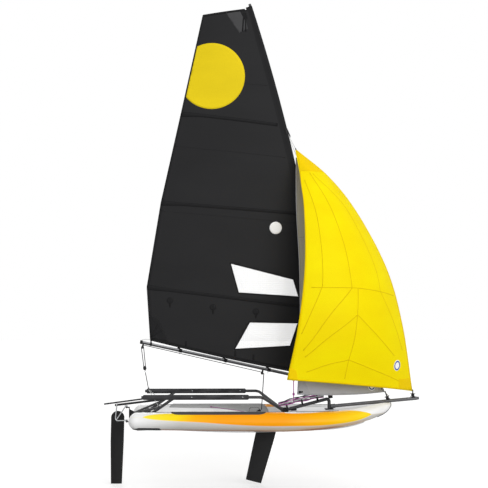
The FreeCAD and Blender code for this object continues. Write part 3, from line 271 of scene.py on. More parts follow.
def coat(tree, shader, colour, height, distance, strength=0.6, rough=None):
    """Gives a shader its colour, its relief and, where it varies, its roughness."""
    node = tree.nodes.new("ShaderNodeBump")
    node.inputs["Strength"].default_value = strength
    node.inputs["Distance"].default_value = distance
    tree.links.new(height, node.inputs["Height"])
    tree.links.new(node.outputs["Normal"], shader.inputs["Normal"])
    tree.links.new(colour, shader.inputs["Base Color"])
    feed(tree, shader.inputs["Roughness"], rough)


def shade(colour, share):
    """The same colour, lighter or darker."""
    return tuple(min(1.0, channel * share) for channel in colour)


def linear(red, green, blue):
    """Colour written from 0 to 255, as the shader wants it."""
    shares = (channel / 255 for channel in (red, green, blue))
    return tuple(((share + 0.055) / 1.055) ** 2.4 if share > 0.0404 else share / 12.92 for share in shares)


# ---- Finishes ---------------------------------------------------------------------------------
FINISHES = {}


def finish(maker):
    """Makes each finish once."""
    def made(*given):
        key = (maker.__name__, *given)
        if key not in FINISHES:
            FINISHES[key] = maker(*given)
        return FINISHES[key]
    return made


@finish
def studio_white():
    """Floor: pale and even, pure white to the eye where nothing shades it."""
    made = bpy.data.materials.new("studio_white")
    made.use_nodes = True
    tree = made.node_tree
    tree.nodes.clear()
    dull = tree.nodes.new("ShaderNodeBsdfDiffuse")
    dull.inputs["Color"].default_value = (0.42, 0.42, 0.42, 1)
    bright = tree.nodes.new("ShaderNodeBsdfDiffuse")
    bright.inputs["Color"].default_value = (0.78, 0.78, 0.78, 1)
    glow = tree.nodes.new("ShaderNodeEmission")
    glow.inputs["Strength"].default_value = 0.42
    lit = tree.nodes.new("ShaderNodeAddShader")
    mix = tree.nodes.new("ShaderNodeMixShader")
    out = tree.nodes.new("ShaderNodeOutputMaterial")
    tree.links.new(bright.outputs[0], lit.inputs[0])
    tree.links.new(glow.outputs[0], lit.inputs[1])
    tree.links.new(seen_rays(tree), mix.inputs[0])
    tree.links.new(dull.outputs[0], mix.inputs[1])
    tree.links.new(lit.outputs[0], mix.inputs[2])
    tree.links.new(mix.outputs[0], out.inputs["Surface"])
    return made


@finish
def moulded(name, red, green, blue, rough, grain):
    """Moulded plastic or rubber: fine pebbled skin with paler clouds."""
    made, tree, shader = blank(name, rough, specular=0.15)
    cloud = noise(tree, place_of(tree), 14.0)
    base = linear(red, green, blue)
    colour = tint(tree, spread(tree, cloud, 0.35, 0.75), shade(base, 0.85), shade(base, 1.3))
    coat(tree, shader, colour, noise(tree, place_of(tree), grain, 2.0), 0.0006, 0.35,
         spread(tree, cloud, 0.2, 0.8, rough - 0.06, rough + 0.08))
    return made


@finish
def brushed(name, red, green, blue, rough, axis, metal=0.75):
    """Drawn or anodised tube: fine lines along an axis and faint handling marks."""
    made, tree, shader = blank(name, rough, metal=metal, specular=0.4)
    stretch = {"x": (4, 160, 160), "z": (160, 160, 4), "none": (60, 60, 60)}[axis]
    lines = noise(tree, place_of(tree, scale=stretch), 3.0, 2.0)
    marks = noise(tree, place_of(tree), 9.0, 4.0)
    base = linear(red, green, blue)
    worn = tint(tree, spread(tree, marks, 0.55, 0.8), base, shade(base, 1.7))
    colour = tint(tree, spread(tree, lines, 0.3, 0.7, 0.0, 0.5), worn, shade(base, 0.7))
    varied = spread(tree, lines, 0.3, 0.7, rough - 0.06, rough + 0.1)
    coat(tree, shader, colour, lines, 0.0003, 0.15, varied)
    return made


def curve_of(tree, value, points):
    """Value looked up on a smooth curve through points inside the unit square."""
    node = tree.nodes.new("ShaderNodeFloatCurve")
    line = node.mapping.curves[0].points
    line[0].location = points[0]
    line[1].location = points[-1]
    for point in points[1:-1]:
        line.new(*point)
    node.mapping.update()
    tree.links.new(value, node.inputs["Value"])
    return node.outputs[0]


PANEL_X = (-1.58, 1.52)       # the side panel's tips
PANEL_TOP = ((-1.58, 0.206), (-1.42, 0.240), (-1.10, 0.252), (0.02, 0.250), (0.12, 0.285), (0.26, 0.285),
             (0.34, 0.252), (0.60, 0.250), (1.05, 0.268), (1.25, 0.266), (1.42, 0.243), (1.52, 0.208))
PANEL_FOOT = ((-1.58, 0.207), (-1.45, 0.180), (-1.20, 0.160), (-0.80, 0.138), (-0.40, 0.108), (0.0, 0.087),
              (0.50, 0.084), (0.85, 0.088), (1.05, 0.102), (1.25, 0.125), (1.42, 0.164), (1.52, 0.208))
PANEL_HEIGHT = 0.35
PANEL_TONES = (               # share of the panel's length, red, green, blue
    (0.0, 255, 232, 60), (0.13, 252, 220, 22), (0.22, 253, 178, 0), (0.34, 252, 160, 0),
    (0.62, 252, 162, 0), (0.80, 253, 184, 0), (0.95, 254, 216, 26),
)


@finish
def coated_fabric():
    """Woven polyester with a glossy coat: white, a yellow to orange panel, grey and orange below."""
    made, tree, shader = blank("coated_fabric", 0.40, specular=0.16)
    x, y, z = axes(tree, place_of(tree))
    along = spread(tree, x, *PANEL_X)

    def edge(points):
        placed = [((px - PANEL_X[0]) / (PANEL_X[1] - PANEL_X[0]), pz / PANEL_HEIGHT) for px, pz in points]
        return product(tree, curve_of(tree, along, placed), PANEL_HEIGHT)

    def above(value, level, width=0.003):
        return spread(tree, math_node(tree, "SUBTRACT", value, level), -width, width, kind="SMOOTHSTEP")

    # the tubes' outboard half, and a little more where the panel climbs over the crest
    bend = math_node(tree, "MAXIMUM", math_node(tree, "SUBTRACT", x, TUBE_BEND_X), 0.0)
    axis = math_node(tree, "SUBTRACT", TUBE_AXIS.y, product(tree, bend, bend, TUBE_BEND))
    lap = product(tree, spread(tree, x, 0.04, 0.12), spread(tree, x, 0.34, 0.26), 0.085)
    outside = above(math_node(tree, "ABSOLUTE", y), math_node(tree, "SUBTRACT", axis, lap))
    panel = product(tree, above(edge(PANEL_TOP), z), above(z, edge(PANEL_FOOT), 0.006), outside)

    # the panel's tones, slanted and a little uneven
    fade = noise(tree, place_of(tree, scale=(1, 1, 3)), 2.5, 2.0)
    tone = tree.nodes.new("ShaderNodeValToRGB")
    for position, *_ in PANEL_TONES[1:-1]:
        tone.color_ramp.elements.new(position)
    for element, (position, *rgb) in zip(tone.color_ramp.elements, PANEL_TONES):
        element.position = position
        element.color = (*linear(*rgb), 1)
    slant = math_node(tree, "ADD", along, product(tree, z, -0.35))
    uneven = math_node(tree, "ADD", slant, spread(tree, fade, 0.0, 1.0, 0.045, 0.075))
    tree.links.new(uneven, tone.inputs[0])

    # white above it, grey towards the stern below it, and orange along the underside
    white = tint(tree, spread(tree, fade, 0.3, 0.7), linear(238, 238, 238), linear(248, 248, 248))
    shaded = product(tree, above(edge(PANEL_FOOT), z, 0.012), outside, spread(tree, x, -1.70, -1.05))
    grey = tint(tree, shaded, white, linear(204, 202, 197))
    rise = math_node(tree, "ADD", product(tree, spread(tree, x, TUBE_BEND_X, -1.70), 0.032),
                     product(tree, spread(tree, x, 0.40, 1.30), 0.072))
    height = math_node(tree, "SUBTRACT", z, rise)
    glow = product(tree, spread(tree, height, 0.080, 0.010, 0.0, 0.6), spread(tree, x, -1.0, 0.6), outside)
    grey = tint(tree, glow, grey, linear(232, 168, 64))
    belly = product(tree, above(0.016, height, 0.014), outside, spread(tree, x, -1.38, -1.34),
                    spread(tree, x, 1.15, 0.95))
    colour = tint(tree, panel, tint(tree, belly, grey, linear(160, 86, 14)), tone.outputs["Color"])
    raised = math_node(tree, "ADD", product(tree, crossed(tree, 900.0, directions="XZ"), 0.12),
                       product(tree, panel, 0.6))
    coat(tree, shader, colour, raised, 0.0009, 0.5, spread(tree, fade, 0.3, 0.7, 0.28, 0.40))
    return made


THREADS = 700.0               # bands of threads in a metre of sailcloth


@finish
def sailcloth(name, red, green, blue, through=0.0):
    """Woven cloth on a UV map in metres: threads, ripstop lines, soft creases, a share of light through."""
    made, tree, shader = blank(name, 0.60, specular=0.07)
    base = linear(red, green, blue)
    broad = noise(tree, place_of(tree, "UV", scale=(0.6, 1.6, 1)), 1.3)
    fine = noise(tree, place_of(tree, "UV"), 60.0, 2.0)
    ripstop = crossed(tree, THREADS / 8, "UV", "XY", profile="SAW")
    colour = tint(tree, spread(tree, broad, 0.3, 0.7), shade(base, 0.95), shade(base, 1.10))
    colour = tint(tree, spread(tree, fine, 0.3, 0.8, 0.0, 0.25), colour, shade(base, 1.25))
    colour = tint(tree, spread(tree, ripstop, 0.90, 0.97, 0.0, 0.35), colour, shade(base, 0.72))
    crease = noise(tree, place_of(tree, "UV", scale=(1.0, 2.2, 1)), 3.2, 4.0, 0.6)
    height = math_node(tree, "ADD", product(tree, crossed(tree, THREADS, "UV", "XY"), 0.03),
                       product(tree, crease, 3.0))
    coat(tree, shader, colour, height, 0.0022, 0.35)
    if through:
        lit = tree.nodes.new("ShaderNodeBsdfTranslucent")
        mix = tree.nodes.new("ShaderNodeMixShader")
        mix.inputs[0].default_value = through
        tree.links.new(colour, lit.inputs["Color"])
        tree.links.new(shader.outputs[0], mix.inputs[1])
        tree.links.new(lit.outputs[0], mix.inputs[2])
        tree.links.new(mix.outputs[0], tree.nodes["Material Output"].inputs["Surface"])
    return made


@finish
def clear_film():
    """Window film: nearly clear, with a faint grid of threads."""
    made, tree, shader = blank("clear_film", 0.12)
    thread = spread(tree, crossed(tree, 12.0, "UV", "XY", profile="SAW"), 0.93, 0.97)
    tree.links.new(spread(tree, thread, 0.0, 1.0, 0.22, 0.45), shader.inputs["Alpha"])
    colour = tint(tree, thread, linear(250, 251, 252), linear(222, 224, 226))
    coat(tree, shader, colour, thread, 0.0003, 0.3)
    return made


@finish
def braided(name, rope_colour, fleck_colour):
    """Braided rope on a UV map that runs along it in diameters: crossing strands and flecks."""
    made, tree, shader = blank(name, 0.75, specular=0.15)
    strand = crossed(tree, 1.0, "UV", angles=(0, 0, 45))
    fleck = noise(tree, place_of(tree, "UV", scale=(0.6, 3, 1)), 1.7, 2.0)
    base = linear(*rope_colour)
    colour = tint(tree, spread(tree, strand, 0.2, 0.8), shade(base, 0.6), base)
    colour = tint(tree, spread(tree, fleck, 0.58, 0.66), colour, linear(*fleck_colour))
    coat(tree, shader, colour, strand, 0.0008)
    return made


@finish
def packed_rope(red, green, blue):
    """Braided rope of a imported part, which has no map along it: fine diagonal strands."""
    made, tree, shader = blank("packed_rope", 0.75, specular=0.15)
    strand = crossed(tree, 60.0, angles=(0, 40, 35))
    base = linear(red, green, blue)
    coat(tree, shader, tint(tree, strand, shade(base, 0.65), shade(base, 1.15)), strand, 0.0008)
    return made


@finish
def deck_foam():
    """Grey closed-cell deck foam with pressed diamond grooves and a dark outboard edge."""
    made, tree, shader = blank("deck_foam", 0.85, specular=0.1)
    groove = spread(tree, crossed(tree, 26.0, angles=(0, 0, 35), profile="SAW"), 0.80, 0.92)
    grain = noise(tree, place_of(tree), 700.0, 2.0)
    dirt = noise(tree, place_of(tree), 6.0, 4.0)
    base = linear(172, 172, 172)
    colour = tint(tree, spread(tree, dirt, 0.35, 0.7), shade(base, 0.9), shade(base, 1.08))
    colour = tint(tree, groove, colour, shade(base, 0.72))
    margin = spread(tree, math_node(tree, "ABSOLUTE", axes(tree, place_of(tree))[1]), 0.700, 0.706)
    colour = tint(tree, margin, colour, linear(74, 74, 75))
    coat(tree, shader, colour, math_node(tree, "SUBTRACT", product(tree, grain, 0.2), groove), 0.0008)
    return made


@finish
def foam_grip():
    """Black closed-cell foam sleeve: fine cells, darker and greyer clouds."""
    made, tree, shader = blank("foam_grip", 0.9, specular=0.08)
    cells = tree.nodes.new("ShaderNodeTexVoronoi")
    cells.inputs["Scale"].default_value = 420.0
    tree.links.new(place_of(tree), cells.inputs["Vector"])
    cloud = noise(tree, place_of(tree, scale=(1, 4, 4)), 5.0, 4.0)
    base = linear(60, 60, 62)
    colour = tint(tree, spread(tree, cloud, 0.35, 0.7), shade(base, 0.7), shade(base, 1.5))
    coat(tree, shader, colour, cells.outputs["Distance"], 0.0007, 0.5)
    return made


@finish
def webbing(name, red, green, blue):
    """Flat woven strap with ribs across it."""
    made, tree, shader = blank(name, 0.7, specular=0.12)
    ribs = bands(tree, place_of(tree, "UV"), 160.0)
    base = linear(red, green, blue)
    coat(tree, shader, tint(tree, ribs, shade(base, 0.7), shade(base, 1.25)), ribs, 0.0006)
    return made


@finish
def boom_tube():
    """Dark anodised boom whose upward-facing half is painted pale grey as a highlight."""
    made, tree, shader = blank("boom_tube", 0.40, metal=0.35, specular=0.4)
    facing = axes(tree, tree.nodes.new("ShaderNodeTexCoord").outputs["Normal"])
    lines = noise(tree, place_of(tree, scale=(4, 160, 160)), 3.0, 2.0)
    # painted highlight: faces turned upwards get a pale grey in place of the light reflected off the tube's
    # top
    painted_top_highlight = spread(tree, facing[2], 0.05, 0.50, kind="SMOOTHSTEP")
    colour = tint(tree, painted_top_highlight, linear(44, 44, 46), linear(188, 189, 192))
    colour = tint(tree, spread(tree, lines, 0.3, 0.7, 0.0, 0.5), colour, linear(90, 90, 92))
    coat(tree, shader, colour, lines, 0.0003, 0.15)
    return made


def black_tape():
    """Webbing of the sails' tapes and of all straps."""
    return webbing("black_tape", 26, 26, 27)


def black_fitting():
    """Plastic of blocks, nodes and clamps."""
    return moulded("black_fitting", 27, 27, 28, 0.45, 420.0)


def bright_steel():
    """Steel of pins, shackles and rivets."""
    return brushed("bright_steel", 190, 192, 194, 0.28, "none")


def dark_doubling():
    """Cloth of the mainsail's pockets and corner patches."""
    return sailcloth("charcoal_doubling", 31, 31, 32)


def white_mark():
    """Cloth of the plain white discs."""
    return sailcloth("white_mark", 250, 250, 250)


def ropes():
    """The three ropes on board: dark, white and purple."""
    return (braided("dark_rope", (62, 62, 64), (104, 104, 106)),
            braided("white_rope", (214, 216, 214), (120, 124, 124)),
            braided("purple_rope", (200, 80, 180), (240, 210, 234)))


# ---- Shapes -----------------------------------------------------------------------------------
def new_piece(name, shape, *finishes, sharp=40.0):
    """Object from a bmesh, or from a function that fills one."""
    work = shape
    if not isinstance(shape, bmesh.types.BMesh):
        work = bmesh.new()
        shape(work)
    mesh = bpy.data.meshes.new(name)
    work.to_mesh(mesh)
    work.free()
    mesh.shade_smooth()
    mesh.set_sharp_from_angle(angle=math.radians(sharp))
    for made in finishes:
        mesh.materials.append(made)
    piece = bpy.data.objects.new(name, mesh)
    bpy.context.scene.collection.objects.link(piece)
    return piece


def rides(piece, body):
    """A finished piece takes its body."""
    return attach(piece, body)


def thicken(piece, thickness):
    """Gives cloth its thickness, half to each side."""
    cloth = piece.modifiers.new("cloth", "SOLIDIFY")
    cloth.thickness = thickness
    cloth.offset = 0.0
    return piece


def cloth_piece(name, columns, rows, place, made, thickness, body="hull"):
    """Piece of cloth, tape or film on a grid that place(u, v) lays out."""
    piece = new_piece(name, lambda work: grid_mesh(work, columns, rows, place), made)
    return rides(thicken(piece, thickness), body)


def face_out(work, verts):
    """Turns the faces round the given points outwards."""
    faces = {face for vert in verts if vert.is_valid for face in vert.link_faces}
    bmesh.ops.recalc_face_normals(work, faces=list(faces))


def merge(work):
    """Joins the points that lie on each other, at seams and poles."""
    bmesh.ops.remove_doubles(work, verts=list(work.verts), dist=MERGE)


def paint(work, finish_index):
    """Marks the faces made since the last call with one of the piece's finishes."""
    for face in work.faces:
        if not face.tag:
            face.material_index = finish_index
            face.tag = True


def grid_mesh(work, columns, rows, place):
    """Adds a grid whose points and UV map, in metres, place(u, v) gives."""
    layer = work.loops.layers.uv.verify()
    made = bmesh.ops.create_grid(work, x_segments=columns, y_segments=rows, size=0.5)["verts"]
    flat = np.array([vert.co[:2] for vert in made]) + 0.5
    points, texture = place(flat[:, 0], flat[:, 1])
    places = dict(zip(made, texture))
    for vert, point in zip(made, points):
        vert.co = point
    for face in {face for vert in made for face in vert.link_faces}:
        for loop in face.loops:
            loop[layer].uv = places[loop.vert]
    return made


def smooth_path(points, each=8):
    """Points of a soft line through the given ones."""
    spots = np.array([tuple(p) for p in points], float)
    return through(spots, np.linspace(0, 1, each * (len(spots) - 1) + 1))


def run_lengths(points):
    """Length of a line up to each of its points."""
    return np.concatenate([[0.0], np.cumsum(np.linalg.norm(np.diff(points, axis=0), axis=1))])


def row_of(u, points):
    """Index of the point that stands at a share of a line's rows."""
    return np.rint(u * (len(points) - 1)).astype(int)


def through(values, share):
    """Rows of values, smoothly interpolated at shares from 0 to 1."""
    values = np.asarray(values, float)
    count = len(values) - 1
    slopes = np.gradient(values, axis=0)
    place = np.clip(np.asarray(share, float) * count, 0, count)
    low = np.minimum(place.astype(int), count - 1)
    t = (place - low)[:, None]
    start, end, start_slope, end_slope = values[low], values[low + 1], slopes[low], slopes[low + 1]
    return ((2 * t**3 - 3 * t**2 + 1) * start + (t**3 - 2 * t**2 + t) * start_slope
            + (3 * t**2 - 2 * t**3) * end + (t**3 - t**2) * end_slope)


def tube(work, points, radius, around=10):
    """Adds a round tube along points, with a UV map in diameters along and turns around it."""
    path = np.array([tuple(p) for p in points], float)
    travelled = run_lengths(path) / (2 * radius)
    tangents = np.gradient(path, axis=0)
    tangents /= np.linalg.norm(tangents, axis=1)[:, None]
    side = np.cross(tangents[0], (0.3, 0.2, 0.9))
    sides = []
    for tangent in tangents:
        side = side - tangent * (side @ tangent)
        side = side / np.linalg.norm(side)
        sides.append(side)
    sides = np.array(sides)
    ups = np.cross(tangents, sides)

    def place(u, v):
        index, angle = row_of(u, path), v * 2 * math.pi
        ring = sides[index] * np.cos(angle)[:, None] + ups[index] * np.sin(angle)[:, None]
        return path[index] + ring * radius, np.stack([travelled[index], v * 3], axis=1)

    made = grid_mesh(work, len(path) - 1, around, place)
    bmesh.ops.remove_doubles(work, verts=made, dist=radius * 1e-3)
    edges = {edge for vert in made if vert.is_valid for edge in vert.link_edges}
    bmesh.ops.holes_fill(work, edges=[edge for edge in edges if edge.is_boundary], sides=0)
    face_out(work, made)


def rope(name, points, diameter, made, body="hull"):
    """Rope along points: a soft line through them, or one straight run between two."""
    path = smooth_path(points) if len(points) > 2 else points
    piece = new_piece(name, lambda work: tube(work, path, diameter / 2), made, sharp=80)
    return rides(piece, body)


def aimed(at, direction):
    """Matrix that puts a piece drawn up the Z axis at a point, along a direction."""
    turn = Vector(direction).to_track_quat("Z", "Y").to_matrix().to_4x4()
    return Matrix.Translation(Vector(at)) @ turn


def turned(work, profile, matrix, steps=24):
    """Adds a round piece: a profile of (radius, height) spun about Z and then placed."""
    old = set(work.verts)
    rim = [work.verts.new((radius, 0, height)) for radius, height in profile]
    edges = [work.edges.new(pair) for pair in zip(rim, rim[1:])]
    bmesh.ops.spin(work, geom=rim + edges, cent=(0, 0, 0), axis=(0, 0, 1), angle=2 * math.pi,
                   steps=steps, use_merge=True)
    made = [vert for vert in work.verts if vert not in old]
    bmesh.ops.remove_doubles(work, verts=made, dist=1e-6)
    made = [vert for vert in made if vert.is_valid]
    face_out(work, made)
    bmesh.ops.transform(work, matrix=matrix, verts=made)


def turned_piece(name, profile, at, along, made, body="hull", steps=24, sharp=40.0):
    """Round piece of its own, spun about a direction."""
    piece = new_piece(name, lambda work: turned(work, profile, aimed(at, along), steps), made, sharp=sharp)
    return rides(piece, body)


def barrel(radius, height, lip=0.001):
    """Profile of a solid round bar with softened rims, centred on its middle."""
    half = height / 2
    return ((0, -half), (radius - lip, -half), (radius, -half + lip), (radius, half - lip),
            (radius - lip, half), (0, half))


def ring_profile(inner, outer, height, lip=0.0008):
    """Profile of a ring with softened rims, centred on its middle; it closes on itself."""
    half = height / 2
    return ((inner, -half), (outer - lip, -half), (outer, -half + lip), (outer, half - lip),
            (outer - lip, half), (inner, half), (inner, -half))


def slab(work, outline, thickness, matrix, lip=0.0015):
    """Adds a flat plate with softened edges, drawn in the XY plane and then placed."""
    old = set(work.verts)
    face = work.faces.new([work.verts.new((x, y, -thickness / 2)) for x, y in outline])
    raised = bmesh.ops.extrude_face_region(work, geom=[face])["geom"]
    top = [part for part in raised if isinstance(part, bmesh.types.BMVert)]
    bmesh.ops.translate(work, vec=(0, 0, thickness), verts=top)
    made = [vert for vert in work.verts if vert not in old]
    face_out(work, made)
    edges = {edge for vert in made for edge in vert.link_edges}
    bmesh.ops.bevel(work, geom=list(edges), offset=lip, offset_type="OFFSET", affect="EDGES", segments=2,
                    profile=0.5, material=-1)
    made = [vert for vert in work.verts if vert not in old]
    bmesh.ops.transform(work, matrix=matrix, verts=made)


def rounded(length, width, corner, steps=4):
    """Outline of a rectangle with round corners, centred."""
    outline = []
    for turn, (sx, sy) in enumerate(((1, 1), (-1, 1), (-1, -1), (1, -1))):
        for step in range(steps + 1):
            angle = math.radians(90 * (turn + step / steps))
            outline.append((sx * (length / 2 - corner) + corner * math.cos(angle),
                            sy * (width / 2 - corner) + corner * math.sin(angle)))
    return outline


def pulley(work, at, up, across, size):
    """Adds a block: two cheeks, a grooved sheave on a pin, and a shackle above."""
    up, across = Vector(up).normalized(), Vector(across).normalized()
    turn = Matrix((up.cross(across), up, across)).transposed().to_4x4()
    place = Matrix.Translation(Vector(at)) @ turn
    cheek, groove = size * 0.22, size * 0.14       # from the middle to a cheek and to the sheave's flange
    for side in (-1, 1):
        slab(work, rounded(size * 0.86, size * 1.15, size * 0.40), size * 0.09,
             place @ Matrix.Translation((0, 0, side * cheek)), size * 0.03)
    paint(work, 0)
    sheave = ((size * 0.06, -groove), (size * 0.40, -groove), (size * 0.30, 0), (size * 0.40, groove),
              (size * 0.06, groove))
    turned(work, sheave, place, 20)
    turned(work, barrel(size * 0.09, size * 0.60), place, 12)
    low, high = [place @ Vector((0, size * 0.45, side * cheek)) for side in (-1, 1)]
    crown = place @ Vector((0, size * 0.88, 0))
    shackle = [low, low.lerp(crown, 0.6) + across * size * -0.08, crown,
               high.lerp(crown, 0.6) + across * size * 0.08, high]
    tube(work, smooth_path(shackle, 4), size * 0.05, 8)
    paint(work, 1)


# ---- Mainsail ---------------------------------------------------------------------------------
def bend_centre():
    """Centre of the mast's arc, x and z."""
    return MAST_FOOT.x - MAST_BEND * math.cos(MAST_LEAN), MAST_FOOT.z - MAST_BEND * math.sin(MAST_LEAN)


def mast_x(z):
    """Centre of the mast at a height."""
    x, level = bend_centre()
    return x + np.sqrt(MAST_BEND**2 - (z - level) ** 2)


def mast_tangent(z):
    """Direction of the mast at a height."""
    x, level = bend_centre()
    return Vector((level - z, 0, float(mast_x(z)) - x)).normalized()


def strip_ends(height):
    """x and z of both ends of the sail's strip that starts at a height on the luff."""
    heights, leech_x, leech_z = np.array(MAIN_STATIONS).T
    return mast_x(height), height, np.interp(height, heights, leech_x), np.interp(height, heights, leech_z)


def strip_through(x, z):
    """Luff height of the strip that passes through each point of the sail's side view."""
    low, high = np.full(x.shape, 0.35), np.full(x.shape, 6.1)   # just past the foot and the head
    for _ in range(34):
        middle = (low + high) / 2
        luff_x, luff_z, leech_x, leech_z = strip_ends(middle)
        above = (leech_x - luff_x) * (z - luff_z) - (leech_z - luff_z) * (x - luff_x) < 0
        low, high = np.where(above, middle, low), np.where(above, high, middle)
    return (low + high) / 2


def on_sail(x, z):
    """Points of the set mainsail for places in its side view."""
    x, z = np.asarray(x, float), np.asarray(z, float)
    height = strip_through(x, z)
    luff_x, luff_z, leech_x, leech_z = strip_ends(height)
    share = np.clip((luff_x - x) / (luff_x - leech_x), 0, 1)
    chord = np.hypot(luff_x - leech_x, luff_z - leech_z)
    battens = np.interp(height, [station[0] for station in MAIN_STATIONS], range(len(MAIN_STATIONS)))
    swell = 1 + 0.07 * np.sin(np.pi * battens) ** 2
    ripple = 0.0022 * np.sin(9 * z + 5 * x) * np.sin(3.1 * x + 1.3 * z) * share
    return np.stack([x, -CAMBER * chord * 4 * share * (1 - share) * swell + ripple, z], axis=1)


def side_view(x, z):
    """Points in the flat side view of a sail, and their texture in metres."""
    return np.stack([x, 0 * x, z], axis=1), np.stack([x, z], axis=1)


def cut_line(work, first, second, keep=False, near=None):
    """Cuts the flat sail along a line of its side view; with keep, only the right side stays."""
    faces = [face for face in work.faces if near is None or near(face.calc_center_median())]
    parts = [list({part for face in faces for part in held(face)}) for held in
             (lambda face: face.edges, lambda face: face.verts)]
    along = Vector((second[0] - first[0], 0, second[1] - first[1]))
    bmesh.ops.bisect_plane(work, geom=faces + parts[0] + parts[1], plane_co=(first[0], 0, first[1]),
                           plane_no=along.cross(Vector((0, 1, 0))), clear_outer=keep)


def corners_of(outline):
    """Pairs of neighbouring corners of a closed outline, counter-clockwise in the side view."""
    area = sum(a[0] * b[1] - b[0] * a[1] for a, b in zip(outline, outline[1:] + outline[:1]))
    ordered = list(outline) if area > 0 else list(reversed(outline))
    return list(zip(ordered, ordered[1:] + ordered[:1]))


def inside(outline, point):
    """True where a place of the side view lies inside a convex outline."""
    return all((b[0] - a[0]) * (point.z - a[1]) - (b[1] - a[1]) * (point.x - a[0]) > 0
               for a, b in corners_of(outline))


def box_of(outline):
    """Lowest and highest x and z of an outline."""
    xs, zs = zip(*outline)
    return min(xs), max(xs), min(zs), max(zs)


def settle(work):
    """Lays a flat mesh of the side view on the set sail."""
    verts = list(work.verts)
    points = on_sail([vert.co.x for vert in verts], [vert.co.z for vert in verts])
    for vert, point in zip(verts, points):
        vert.co = point


def patch(name, outline, made, thickness):
    """Convex patch of cloth or film on the mainsail."""
    left, right, low, high = box_of(outline)
    wide, tall = right - left, high - low
    work = bmesh.new()
    grid_mesh(work, max(2, round(wide / 0.04)), max(2, round(tall / 0.04)),
              lambda u, v: side_view(left + wide * u, low + tall * v))
    for first, second in corners_of(outline):
        cut_line(work, second, first, keep=True)
    settle(work)
    return rides(thicken(new_piece(name, work, made), thickness), "rig")


def round_patch(name, centre, inner, outer, made, thickness, trims=()):
    """Round or ring-shaped patch on the mainsail, trimmed along lines of the side view."""
    def place(u, v):
        reach, angle = inner + (outer - inner) * u, v * 2 * math.pi
        return side_view(centre[0] + reach * np.cos(angle), centre[1] + reach * np.sin(angle))

    work = bmesh.new()
    grid_mesh(work, max(2, round((outer - inner) / 0.03)), 72, place)
    merge(work)
    for first, second in trims:
        cut_line(work, first, second, keep=True)
    settle(work)
    return rides(thicken(new_piece(name, work, made), thickness), "rig")


def band(name, line, width, made, thickness):
    """Strip of cloth or tape along a line of the mainsail's side view; its width may change along it."""
    knots = np.array(line, float)
    lengths = run_lengths(knots)
    count = max(2, round(lengths[-1] / 0.05))
    marks = np.unique(np.concatenate([np.linspace(0, lengths[-1], count + 1), lengths]))
    flat = np.stack([np.interp(marks, lengths, knots[:, i]) for i in (0, 1)], axis=1)
    tangent = np.gradient(flat, axis=0)
    tangent /= np.linalg.norm(tangent, axis=1)[:, None]
    widths = np.interp(marks, lengths, np.broadcast_to(width, len(knots)))

    def place(u, v):
        index = row_of(u, flat)
        off = (v - 0.5) * widths[index]
        x, z = flat[index, 0] - tangent[index, 1] * off, flat[index, 1] + tangent[index, 0] * off
        return on_sail(x, z), np.stack([marks[index], off], axis=1)

    return cloth_piece(name, len(flat) - 1, 2, place, made, thickness, "rig")


WINDOWS = {                   # corners x, z
    "upper": [(-0.398, 2.274), (0.485, 2.050), (0.560, 1.802), (-0.283, 1.857)],
    "lower": [(-0.128, 1.457), (0.549, 1.442), (0.439, 1.120), (-0.340, 1.077)],
}
FOOT_ROUND = 0.018            # how far the foot's middle hangs below its corners
POCKET_WIDTHS = (0.044, 0.046, 0.075)


def sail_sheet():
    """The mainsail's cloth with its two windows cut out."""
    foot, head = MAIN_STATIONS[0][0], MAIN_STATIONS[-1][0]
    lap = 0.006                                    # of the cloth into the luff sleeve

    def place(u, v):
        luff_x, luff_z, leech_x, leech_z = strip_ends(foot + (head - foot) * v)
        x = luff_x - lap + (leech_x - luff_x + lap) * u
        z = luff_z + (leech_z - luff_z) * u
        return side_view(x, z - FOOT_ROUND * 4 * u * (1 - u) * np.clip(1 - v / 0.08, 0, 1))

    work = bmesh.new()
    grid_mesh(work, 44, 120, place)
    for outline in WINDOWS.values():
        left, right, low, high = box_of(outline)
        for first, second in corners_of(outline):
            cut_line(work, first, second, near=lambda c: left - 0.1 < c.x < right + 0.1
                     and low - 0.1 < c.z < high + 0.1)
        opened = [face for face in work.faces if inside(outline, face.calc_center_median())]
        bmesh.ops.delete(work, geom=opened, context="FACES")
    settle(work)
    return work


